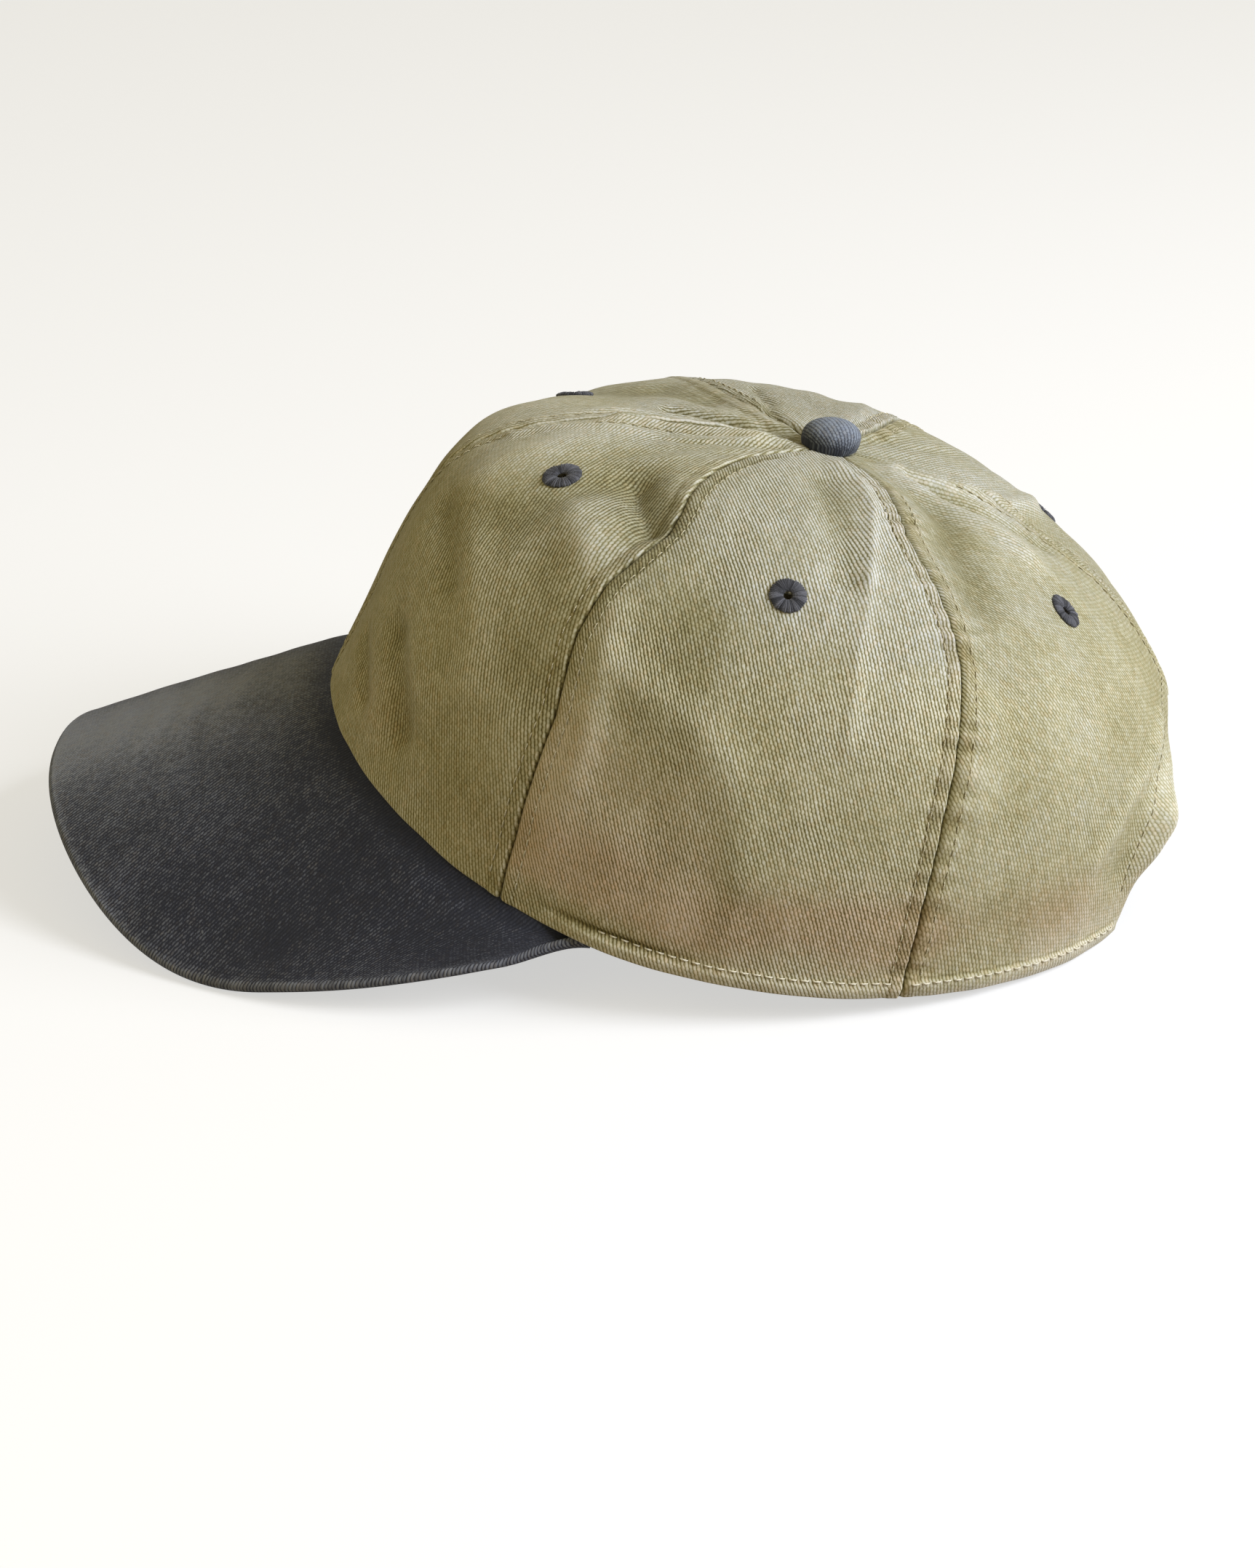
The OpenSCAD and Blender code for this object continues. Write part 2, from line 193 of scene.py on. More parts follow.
@dataclass(frozen=True)
class CrownForm:
    """The crown's outer face as a family of curves from the button down to the hem."""

    half_w: float = 84.5
    front: float = 93.5
    back: float = 99.5
    height: float = 93.0
    top_back: float = 6.0
    hem_rise_front: float = 16.5
    hem_rise_back: float = 9.5
    hem_rise_end: float = 88.0
    top_flat: float = 9.0
    cloth: float = 1.0
    seam_front: float = 60.0
    seam_rear: float = 115.0
    arch_end: float = 154.0
    arch_top: float = 0.645
    s_hole: float = 0.012
    reach: tuple[float, float, float] = (0.98, 0.81, 0.79)
    rise: tuple[float, float, float] = (-5.0, 6.5, -5.0)
    shoulder: tuple[float, float, float] = (0.72, 0.77, 0.56)
    swell: tuple[float, float, float] = (-13.5, 2.5, 5.5)
    sway_width: float = 16.0
    sway_right: float = 0.7
    sway_s: tuple[float, ...] = (0.06, 0.11, 0.18, 0.25, 0.31, 0.36, 0.43, 0.51, 0.62, 0.75, 0.88)
    sway_front: tuple[float, ...] = (-12.0, -12.0, -7.5, -3.2, 0.2, 1.6, 1.2, -0.8, -1.0, 0.7, 0.0)
    sway_rear: tuple[float, ...] = (5.0, 4.5, 0.5, -2.3, -1.3, -0.3, 0.5, 1.2, 0.5, -0.5, -0.9)

    def swayed(self, phi: Array, s: Array) -> Array:
        """The angle as the soft cloth lies, where the seams wander from their straight course."""
        at, total = np.abs(phi), np.zeros(np.shape(phi))
        for seam, bend in ((self.seam_front, self.sway_front), (self.seam_rear, self.sway_rear)):
            total += np.interp(s, self.sway_s, bend) * bell(at - seam, self.sway_width)
        return phi + np.where(phi > 0, 1.0, -self.sway_right) * total

    def around(self, v: tuple[float, float, float], phi: Array) -> Array:
        """One value of three, front, side and back, at the angle phi."""
        c, s = np.cos(np.radians(phi)), np.sin(np.radians(phi))
        return v[0] * np.where(c > 0, c * c, 0) + v[1] * s * s + v[2] * np.where(c < 0, c * c, 0)

    def hem(self, phi: Array) -> Array:
        """Place on the hem at the angle phi."""
        c, s = np.cos(np.radians(phi)), np.sin(np.radians(phi))
        edge = math.cos(math.radians(self.hem_rise_end))
        t = np.clip((c - edge) / (1 - edge), 0, 1)
        up = self.hem_rise_front * t * t + np.where(c < 0, self.hem_rise_back * c * c, 0)
        return np.stack([self.half_w * s, -np.where(c > 0, self.front, self.back) * c, up], -1)

    def face(self, phi: Array, s: Array) -> Array:
        """Place on the outer face at phi and s."""
        phi, s = np.broadcast_arrays(np.asarray(phi, float), np.asarray(s, float))
        phi = self.swayed(phi, s)
        h = self.hem(phi)
        x, y = h[..., 0], h[..., 1] - self.top_back
        far = np.hypot(x, y)
        a, b, c = 3 * s * (1 - s) ** 2, 3 * s * s * (1 - s), s ** 3
        r = a * self.around(self.reach, phi) * far + b * (far + self.around(self.swell, phi)) + c * far
        drop = h[..., 2] - self.height
        z = a * self.around(self.rise, phi) + b * drop * (1 - self.around(self.shoulder, phi)) + c * drop
        flat = 1 - bell(r, self.top_flat)
        return np.stack([r * x / far, self.top_back + r * y / far, self.height + z * flat], -1)

    def normal(self, phi: Array, s: Array) -> Array:
        """Outward direction of the outer face at phi and s."""
        phi, s = np.asarray(phi, float), np.asarray(s, float)
        turn, drop = 0.4, 0.004
        along = self.face(phi + turn, s) - self.face(phi - turn, s)
        down = self.face(phi, s + drop) - self.face(phi, s - drop)
        return unit(np.cross(down, along))

    def across(self, start: Array, phi: Array, s: Array) -> Array:
        """Signed length across the cloth at the level s, from the angle start to phi."""
        pieces = 8
        total = np.zeros(np.broadcast(start, phi, s).shape)
        step = (np.asarray(phi, float) - start) / pieces
        for k in range(pieces):
            at = start + (k + 0.5) * step
            piece = self.face(at + step / 2, s) - self.face(at - step / 2, s)
            total += np.linalg.norm(piece, axis=-1)
        return total * np.sign(np.asarray(phi, float) - start)

    def down(self, phi: Array, start: Array, s: Array) -> Array:
        """Length along the cloth at the angle phi, from the share start down to s."""
        pieces = 12
        total = np.zeros(np.broadcast(start, phi, s).shape)
        step = (np.asarray(s, float) - start) / pieces
        for k in range(pieces):
            piece = self.face(phi, start + (k + 1) * step) - self.face(phi, start + k * step)
            total += np.linalg.norm(piece, axis=-1)
        return total

    def s_above(self, phi: Array, h: Array) -> Array:
        """The share s at a height above the hem, measured along the cloth."""
        phi = np.asarray(phi, float)
        small = 0.01

        def rate(s: Array) -> Array:
            """Millimetres along the cloth for each unit of s, about s."""
            piece = self.face(phi, s + small / 2) - self.face(phi, s - small / 2)
            return np.linalg.norm(piece, axis=-1) / small

        halfway = 1 - h / rate(1 - small / 2) / 2
        return 1 - h / rate(halfway)

    def ring(self, phi: Array, s: Array) -> Array:
        """Distance from the line through the top."""
        p = self.face(phi, s)
        return np.hypot(p[..., 0], p[..., 1] - self.top_back)


@dataclass(frozen=True)
class Fold:
    """A soft ridge, or a valley where the height is negative, along a path on the crown."""

    path: tuple[tuple[float, float], ...]
    width: float
    height: float
    twin: float = 0.35
    crisp: bool = False

    def mirrored(self) -> "Fold":
        """The same fold on the other side of the cap, at a share of the height."""
        path = tuple((-p, s) for p, s in self.path)
        return Fold(path, self.width, self.height * self.twin, crisp=self.crisp)

    def profile(self, away: Array) -> Array:
        """Share of the height at a distance from the path: rounded, or with a crisp crest."""
        if self.crisp:
            crest, blunt = 0.77, 0.6
            return np.exp((crest - np.sqrt(away * away + blunt)) / (0.75 * self.width))
        return bell(away, self.width)


LEFT_FOLDS: tuple[Fold, ...] = (
    Fold(((17, 0.56), (25.5, 0.60), (33, 0.66)), 4.5, -1.5, 0.6),
    Fold(((26, 0.81), (31, 0.86), (35, 0.91)), 4.8, -2.2, 0.6),
    Fold(((32.5, 0.57), (41.5, 0.68), (45, 0.78)), 5.0, 0.9),
    Fold(((46, 0.51), (52, 0.61), (54, 0.72)), 7.0, -1.0),
    Fold(((42.5, 0.262), (47.5, 0.30), (52, 0.332), (56.5, 0.372)), 5.2, -4.1, 0.0, True),
    Fold(((51, 0.285), (56, 0.315), (58.5, 0.345)), 4.0, -0.9, 0.0),
    Fold(((42, 0.40), (47, 0.43), (52, 0.46)), 5.5, 1.3),
    Fold(((8, 0.22), (16, 0.33), (19, 0.44)), 8.0, 1.3, 0.4),
    Fold(((38, 0.28), (37, 0.40), (33, 0.50)), 8.0, -1.6, 1.0),
    Fold(
        ((18, 0.07), (13.5, 0.143), (9.5, 0.206), (6.0, 0.252), (4, 0.31), (4, 0.36)),
        1.5, 1.0, 0.7, True,
    ),
    Fold(((58.5, 0.47), (59, 0.60), (60, 0.75), (60, 0.92)), 4.5, -0.8),
    Fold(((64.3, 0.56), (65.4, 0.63), (65.8, 0.72), (66.2, 0.82)), 3.6, 0.8),
    Fold(((66, 0.63), (73.5, 0.667), (80.5, 0.69), (86, 0.735), (88.5, 0.80), (89.5, 0.86)), 5.0, 0.8),
    Fold(((70, 0.80), (77, 0.83), (82, 0.88)), 9.0, -0.7),
    Fold(((14, 0.88), (19, 0.90), (23, 0.93)), 3.0, -1.4),
    Fold(((95, 0.071), (103, 0.115), (106, 0.204), (101, 0.378)), 1.7, 1.15, 0.3, True),
    Fold(((101, 0.37), (99.2, 0.525), (100, 0.671)), 1.3, 0.7, 0.3, True),
    Fold(((90, 0.13), (96, 0.26), (96.5, 0.38)), 4.0, -1.6),
    Fold(((140, 0.15), (128.5, 0.24), (124, 0.38)), 5.0, -1.7, 0.0),
    Fold(((165, 0.20), (146, 0.28)), 9.0, 1.2),
    Fold(((119.5, 0.60), (119.5, 0.74)), 5.0, 1.0),
    Fold(((165, 0.64), (158, 0.69), (150, 0.745), (142, 0.84)), 2.6, 0.9),
    Fold(((163, 0.73), (156, 0.80), (150, 0.87)), 5.0, -1.2),
    Fold(((156.5, 0.85), (158.5, 0.81)), 7.0, 3.4),
    Fold(((158, 0.80), (161, 0.765), (163, 0.74)), 6.5, 3.3),
)
MIDDLE_FOLDS: tuple[Fold, ...] = (
    Fold(((-6, 0.64), (-3, 0.72), (0, 0.84)), 12.0, -1.7),
    Fold(((-72, 0.216), (-70, 0.135), (-61, 0.08)), 1.6, -1.3, crisp=True),
    Fold(((-48, 0.26), (-48, 0.20), (-47, 0.16)), 4.2, -1.5),
    Fold(((-24, 0.10), (-32, 0.07), (-49, 0.04)), 1.4, -1.5, crisp=True),
    Fold(((-14, 0.04), (-22, 0.09), (-22, 0.16)), 2.2, -2.8),
    Fold(((-18, 0.062), (-15, 0.038)), 1.2, -1.2, crisp=True),
    Fold(((12, 0.045), (4, 0.03)), 1.2, -1.2, crisp=True),
    Fold(((10, 0.04), (-2, 0.10), (0, 0.20)), 2.6, 1.5),
    Fold(((30, 0.05), (19, 0.10), (13, 0.16)), 2.0, -1.0),
    Fold(((165, 0.07), (172, 0.12), (188, 0.22), (206, 0.31)), 3.0, 1.6),
    Fold(((150, 0.08), (146, 0.14), (150, 0.22), (152, 0.29)), 3.0, 1.4),
    Fold(((160, 0.09), (162, 0.18), (170, 0.28)), 2.4, -1.3),
)


class Relief:
    """Folds, swells and gathers of the whole crown, in millimetres along its normal."""

    def __init__(self, crown: CrownForm, folds: Sequence[Fold]) -> None:
        """Keeps the crown's form and lays the folds' paths on it.

        Args:
            crown: the crown's form.
            folds: the folds of both sides.
        """
        self.crown = crown
        self.folds = [(f, self._path(f)) for f in folds]

    def _path(self, fold: Fold) -> Array:
        """Lays a fold's path on the crown as a smooth line."""
        knots = np.array(fold.path, float)
        t = np.linspace(0, len(knots) - 1, 5 * (len(knots) - 1) + 1)
        phi = np.interp(t, np.arange(len(knots)), knots[:, 0])
        s = np.interp(t, np.arange(len(knots)), knots[:, 1])
        return self.crown.face(phi, s)

    def height(self, phi: Array, s: Array) -> Array:
        """Height of the folds, swells and gathers at phi and s."""
        p = self.crown.face(phi, s)
        total = np.zeros(p.shape[:-1])
        for fold, path in self.folds:
            d, _ = path_distance(p, path)
            total += fold.height * fold.profile(d)
        r = self.crown.ring(phi, s)
        turn = np.radians(phi)
        x, y = np.cos(turn), np.sin(turn)
        swell = 0.6 * cloud(p, 27, 3.1) + 0.2 * cloud(p, 10, 7.7)
        hang = 0.4 * cloud(np.stack([9 * x, 9 * y, 2.4 * s], -1), 1.0, 5.9)
        gather = 0.5 * cloud(np.stack([4.2 * x, 4.2 * y, r / 30], -1), 1.0, 11.3)
        total += swell + hang * smooth(16, 30, r)
        return total + gather * smooth(6.5, 10, r) * (1 - smooth(16, 34, r))


class MeshKit:
    """Makes finished objects from points and faces, and runs Blender's operators on them."""

    @staticmethod
    def deselect() -> None:
        """Leaves edit mode and selects nothing."""
        if bpy.context.object and bpy.context.object.mode != "OBJECT":
            bpy.ops.object.mode_set(mode="OBJECT")
        bpy.ops.object.select_all(action="DESELECT")

    @staticmethod
    def active(obj: bpy.types.Object) -> None:
        """Selects one object alone and makes it active."""
        MeshKit.deselect()
        obj.select_set(True)
        bpy.context.view_layer.objects.active = obj

    @staticmethod
    @contextmanager
    def editing() -> Iterator[None]:
        """Runs a block in edit mode on the active object."""
        bpy.ops.object.mode_set(mode="EDIT")
        yield
        bpy.ops.object.mode_set(mode="OBJECT")

    @staticmethod
    def unpick() -> None:
        """Leaves no point, edge or face of the active object selected."""
        with MeshKit.editing():
            bpy.ops.mesh.select_all(action="DESELECT")

    @staticmethod
    def unmarked(obj: bpy.types.Object) -> None:
        """Gives cloth without wear, stains or painted shade its marks, all at 0."""
        for key in ("wear", "stain", "shade"):
            obj.data.attributes.new(key, "FLOAT", "POINT")

    @staticmethod
    def volume(points: Array, faces: Sequence[Sequence[int]]) -> float:
        """Signed volume inside the faces, positive where they point outwards."""
        total = 0.0
        for size in {len(f) for f in faces}:
            ids = np.array([f for f in faces if len(f) == size])
            for k in range(1, size - 1):
                a, b, c = points[ids[:, 0]], points[ids[:, k]], points[ids[:, k + 1]]
                total += float(np.einsum("ij,ij->i", a, np.cross(b, c)).sum()) / 6
        return total

    @staticmethod
    def solid(
        name: str,
        points: Array,
        faces: Sequence[Sequence[int]],
        weave: Array | None = None,
        marks: dict[str, Array] | None = None,
    ) -> bpy.types.Object:
        """Makes a closed object whose faces point outwards.

        Args:
            name: the piece's name.
            points: places in metres in the row frame.
            faces: indices of the points of each face.
            weave: the cloth's own coordinates of each point, in units of WEAVE_UNIT.
            marks: named values of each point for the finish.

        Returns:
            The new object, smooth shaded.
        """
        if MeshKit.volume(points - points.mean(0), faces) < 0:
            faces = [tuple(reversed(f)) for f in faces]
        mesh = bpy.data.meshes.new(name)
        mesh.from_pydata(points.tolist(), [], [list(map(int, f)) for f in faces])
        mesh.polygons.foreach_set("use_smooth", np.ones(len(mesh.polygons), bool))
        if weave is not None:
            loops = np.empty(len(mesh.loops), np.int32)
            mesh.loops.foreach_get("vertex_index", loops)
            layer = mesh.uv_layers.new(name=WEAVE)
            layer.data.foreach_set("uv", np.ascontiguousarray(weave[loops], np.float32).ravel())
        for key, values in (marks or {}).items():
            mark = mesh.attributes.new(key, "FLOAT", "POINT")
            mark.data.foreach_set("value", np.asarray(values, np.float32).ravel())
        mesh.update()
        obj = bpy.data.objects.new(name, mesh)
        bpy.context.scene.collection.objects.link(obj)
        return obj

    @staticmethod
    def grid_faces(ids: Array) -> list[tuple[int, int, int, int]]:
        """Faces between the neighbours of a grid of point indices."""
        a, b, c, d = ids[:-1, :-1], ids[1:, :-1], ids[1:, 1:], ids[:-1, 1:]
        return [tuple(q) for q in np.stack([a, b, c, d], -1).reshape(-1, 4).tolist()]

    @staticmethod
    def zipped(one: Sequence[int], other: Sequence[int]) -> list[tuple[int, int, int]]:
        """Triangles between two chains of points that run the same way."""
        i = j = 0
        out = []
        while i < len(one) - 1 or j < len(other) - 1:
            behind = i < len(one) - 1 and (i + 1) / len(one) <= (j + 1) / len(other)
            if j == len(other) - 1 or behind:
                out.append((one[i], one[i + 1], other[j]))
                i += 1
            else:
                out.append((one[i], other[j + 1], other[j]))
                j += 1
        return out

    @staticmethod
    def rolled(
        name: str,
        rings: Array,
        split: int,
        pose: RestPose,
        weave: Array,
        marks: dict[str, Array],
    ) -> bpy.types.Object:
        """Makes a closed sheet from loops round its thickness, one for each column.

        Args:
            name: the piece's name.
            rings: places in millimetres, by column and then round the loop.
            split: index on the loop where the outer chain ends.
            pose: takes the places to the row frame.
            weave: the cloth's coordinates, shaped as the rings are.
            marks: named values, shaped as the rings are.

        Returns:
            The new object.
        """
        nc, n = rings.shape[:2]
        ids = np.arange(nc * n).reshape(nc, n)
        round_ids = np.concatenate([ids, ids[:, :1]], 1)
        faces: list[tuple[int, ...]] = list(MeshKit.grid_faces(round_ids))
        for col, turned in ((0, False), (nc - 1, True)):
            outer = ids[col, : split + 1].tolist()
            inner = [ids[col, 0]] + ids[col, split:][::-1].tolist()
            tris = [t for t in MeshKit.zipped(outer, inner) if len(set(t)) == 3]
            faces += [tuple(reversed(t)) for t in tris] if turned else tris
        return MeshKit.solid(
            name,
            pose.place(rings.reshape(-1, 3)),
            faces,
            weave.reshape(-1, 2),
            {k: v.reshape(-1) for k, v in marks.items()},
        )

    @staticmethod
    def sheet(
        name: str,
        at: Callable[[Array, Array, float], Array],
        a: Array,
        b: Array,
        depths: tuple[float, float],
        pose: RestPose,
    ) -> bpy.types.Object:
        """Makes a closed strip of cloth with rounded edges over two ranges.

        Args:
            name: the piece's name.
            at: gives the places in millimetres for grids of both ranges and a depth.
            a: steps of the first range, whose ends are the rounded edges' outermost lines.
            b: steps of the second range, likewise.
            depths: depths of the outer and inner faces.
            pose: takes the places to the row frame.

        Returns:
            The new object.
        """
        grid_a, grid_b = np.meshgrid(a[1:-1], b[1:-1], indexing="ij")
        na, nb = grid_a.shape
        rim = (
            [(0, j) for j in range(nb)] + [(i, nb - 1) for i in range(1, na)]
            + [(na - 1, j) for j in range(nb - 2, -1, -1)] + [(i, 0) for i in range(na - 2, 0, -1)]
        )
        ends = {0: a[0], na - 1: a[-1]}
        sides = {0: b[0], nb - 1: b[-1]}
        rim_a = np.array([ends.get(i, a[i + 1]) for i, _ in rim])
        rim_b = np.array([sides.get(j, b[j + 1]) for _, j in rim])
        upper, lower = at(grid_a, grid_b, depths[0]), at(grid_a, grid_b, depths[1])
        middle = at(rim_a, rim_b, (depths[0] + depths[1]) / 2)
        points = np.concatenate([upper.reshape(-1, 3), lower.reshape(-1, 3), middle])
        half = na * nb
        ids = np.arange(half).reshape(na, nb)
        loop = [int(ids[r]) for r in rim]
        faces: list[tuple[int, ...]] = list(MeshKit.grid_faces(ids))
        faces += [tuple(reversed(f)) for f in MeshKit.grid_faces(ids + half)]
        for k, here in enumerate(loop):
            nxt = (k + 1) % len(loop)
            m0, m1 = 2 * half + k, 2 * half + nxt
            faces.append((here, loop[nxt], m1, m0))
            faces.append((m0, m1, loop[nxt] + half, here + half))
        step_a, step_b = (np.linalg.norm(np.diff(upper, axis=k), axis=-1) for k in (0, 1))
        u = np.concatenate([np.zeros((1, nb)), np.cumsum(step_a, 0)])
        v = np.concatenate([np.zeros((na, 1)), np.cumsum(step_b, 1)], 1)
        flat = np.stack([u, v], -1).reshape(-1, 2)
        weave = np.concatenate([flat, flat, flat[loop]]) / WEAVE_UNIT
        return MeshKit.solid(name, pose.place(points), faces, weave)

    @staticmethod
    def arc(centre: Array, r: float, turn: Array, out: Array, up: Array) -> Array:
        """Points round each of a row of centres.

        Args:
            centre: the centres.
            r: distance from them.
            turn: angles in radians, from the up direction towards the out one.
            out: outward direction at each centre.
            up: upward direction at each centre.

        Returns:
            Places, by centre and then by angle.
        """
        sin, cos = np.sin(turn)[None, :, None], np.cos(turn)[None, :, None]
        return centre[:, None] + r * (sin * out[:, None] + cos * up[:, None])

    @staticmethod
    def reshaped(obj: bpy.types.Object, points: Array) -> None:
        """Moves all of an object's points."""
        obj.data.vertices.foreach_set("co", np.ascontiguousarray(points, np.float32).ravel())
        obj.data.update()

    @staticmethod
    def points(obj: bpy.types.Object) -> Array:
        """All of an object's points."""
        out = np.empty(len(obj.data.vertices) * 3, np.float32)
        obj.data.vertices.foreach_get("co", out)
        return out.reshape(-1, 3).astype(float)

    @staticmethod
    def grid_area(points: Array) -> float:
        """Area of a grid of places, in the square of their unit."""
        one, two = points[1:, 1:] - points[:-1, :-1], points[1:, :-1] - points[:-1, 1:]
        return float(np.linalg.norm(np.cross(one, two), axis=-1).sum() / 2)


class Wire:
    """A value in a shader, which takes part in Python arithmetic."""

    def __init__(self, kit: "NodeKit", socket: bpy.types.NodeSocket) -> None:
        """Keeps the shader and the socket that gives the value."""
        self.kit = kit
        self.socket = socket

    def __add__(self, other: "Wire | float") -> "Wire":
        """Sum of two values."""
        return self.kit.math("ADD", self, other)

    __radd__ = __add__

    def __mul__(self, other: "Wire | float") -> "Wire":
        """Product of two values."""
        return self.kit.math("MULTIPLY", self, other)

    __rmul__ = __mul__

    def __sub__(self, other: "Wire | float") -> "Wire":
        """Difference of two values."""
        return self.kit.math("SUBTRACT", self, other)

    def __rsub__(self, other: "Wire | float") -> "Wire":
        """Difference of a number and this value."""
        return self.kit.math("SUBTRACT", other, self)


class NodeKit:
    """Adds nodes to one tree, a material's or the world's."""

    def __init__(self, tree: bpy.types.NodeTree) -> None:
        """Keeps the tree.

        Args:
            tree: where the nodes go.
        """
        self.tree = tree

    def node(
        self,
        kind: str,
        settings: dict | None = None,
        inputs: dict | None = None,
    ) -> bpy.types.Node:
        """Adds a node.

        Args:
            kind: the node's type.
            settings: properties of the node, set before its sockets; "stops" fills a ramp.
            inputs: values or links by the socket's name or number.

        Returns:
            The new node.
        """
        made = self.tree.nodes.new(kind)
        for key, value in (settings or {}).items():
            if key == "stops":
                ramp = made.color_ramp.elements
                while len(ramp) < len(value):
                    ramp.new(0.5)
                for stop, (at, colour) in zip(ramp, value):
                    stop.position = at
                    stop.color = (*colour, 1)
            else:
                setattr(made, key, value)
        for key, value in (inputs or {}).items():
            self.feed(made.inputs[key], value)
        return made

    def feed(self, socket: bpy.types.NodeSocket, value: object) -> None:
        """Links a value, a colour or another socket to a socket, or sets a number on it."""
        if isinstance(value, Wire):
            self.tree.links.new(value.socket, socket)
        elif isinstance(value, bpy.types.NodeSocket):
            self.tree.links.new(value, socket)
        elif isinstance(value, tuple) and len(value) == 3 and socket.type == "RGBA":
            socket.default_value = (*value, 1)
        else:
            socket.default_value = value

    def math(self, operation: str, *values: "Wire | float") -> Wire:
        """Adds a Math node and returns its value."""
        made = self.node("ShaderNodeMath", {"operation": operation}, dict(enumerate(values)))
        return Wire(self, made.outputs[0])

    def clip(self, value: Wire) -> Wire:
        """Keeps a value between 0 and 1."""
        made = self.node("ShaderNodeClamp", None, {0: value})
        return Wire(self, made.outputs[0])

    def mix(
        self,
        share: "Wire | float",
        one: object,
        other: object,
        blend: str = "MIX",
    ) -> bpy.types.NodeSocket:
        """Mixes two colours by a share of the other one."""
        settings = {"data_type": "RGBA", "blend_type": blend}
        return self.node("ShaderNodeMix", settings, {0: share, 6: one, 7: other}).outputs[2]

    def dyed(self, share: Wire, colour: bpy.types.NodeSocket, dye: RGB) -> bpy.types.NodeSocket:
        """Multiplies a share of a colour by a dye."""
        return self.mix(share, colour, self.mix(1.0, colour, dye, "MULTIPLY"))

    def ramp(self, value: Wire, stops: Sequence[tuple[float, RGB]]) -> bpy.types.NodeSocket:
        """Turns a value into a colour by stops."""
        return self.node("ShaderNodeValToRGB", {"stops": list(stops)}, {0: value}).outputs[0]

    def split(self, vector: bpy.types.NodeSocket) -> tuple[Wire, Wire, Wire]:
        """The three values of a vector."""
        made = self.node("ShaderNodeSeparateXYZ", None, {0: vector})
        return tuple(Wire(self, o) for o in made.outputs)

    def join(self, x: object, y: object, z: object = 0.0) -> bpy.types.NodeSocket:
        """A vector of three values."""
        return self.node("ShaderNodeCombineXYZ", None, {0: x, 1: y, 2: z}).outputs[0]

    def noise(self, vector: bpy.types.NodeSocket, scale: float, detail: float) -> Wire:
        """Smooth noise of about 0 to 1."""
        inputs = {"Vector": vector, "Scale": scale, "Detail": detail}
        return Wire(self, self.node("ShaderNodeTexNoise", None, inputs).outputs[0])

    def random(self, x: object, y: object) -> Wire:
        """A random value for each pair of whole numbers."""
        settings = {"noise_dimensions": "2D"}
        made = self.node("ShaderNodeTexWhiteNoise", settings, {"Vector": self.join(x, y)})
        return Wire(self, made.outputs[0])

    def mark(self, name: str) -> Wire:
        """A named value of the mesh."""
        return Wire(self, self.node("ShaderNodeAttribute", {"attribute_name": name}).outputs["Fac"])

    def weave(self) -> bpy.types.NodeSocket:
        """The cloth's own coordinates."""
        return self.node("ShaderNodeUVMap", {"uv_map": WEAVE}).outputs[0]

    def place(self) -> bpy.types.NodeSocket:
        """Object coordinates."""
        return self.node("ShaderNodeTexCoord").outputs["Object"]

    def bump(self, height: Wire, distance: float, strength: float) -> bpy.types.NodeSocket:
        """A normal from a height of 0 to 1 over a distance in metres."""
        inputs = {"Strength": strength, "Distance": distance, "Height": height}
        return self.node("ShaderNodeBump", None, inputs).outputs[0]


class ShaderKit(NodeKit):
    """One material's nodes, with its surface shader."""

    def __init__(self, name: str) -> None:
        """Starts a material with a surface shader and its output.

        Args:
            name: the material's name.
        """
        self.material = bpy.data.materials.new(name)
        self.material.use_nodes = True
        super().__init__(self.material.node_tree)
        self.tree.nodes.clear()
        out = self.node("ShaderNodeOutputMaterial")
        self.shader = self.node("ShaderNodeBsdfPrincipled")
        self.feed(out.inputs[0], self.shader.outputs[0])

    def finish(self, **sockets: object) -> bpy.types.Material:
        """Feeds the surface shader's sockets, with spaces as underscores: the material."""
        for key, value in sockets.items():
            self.feed(self.shader.inputs[key.replace("_", " ")], value)
        return self.material


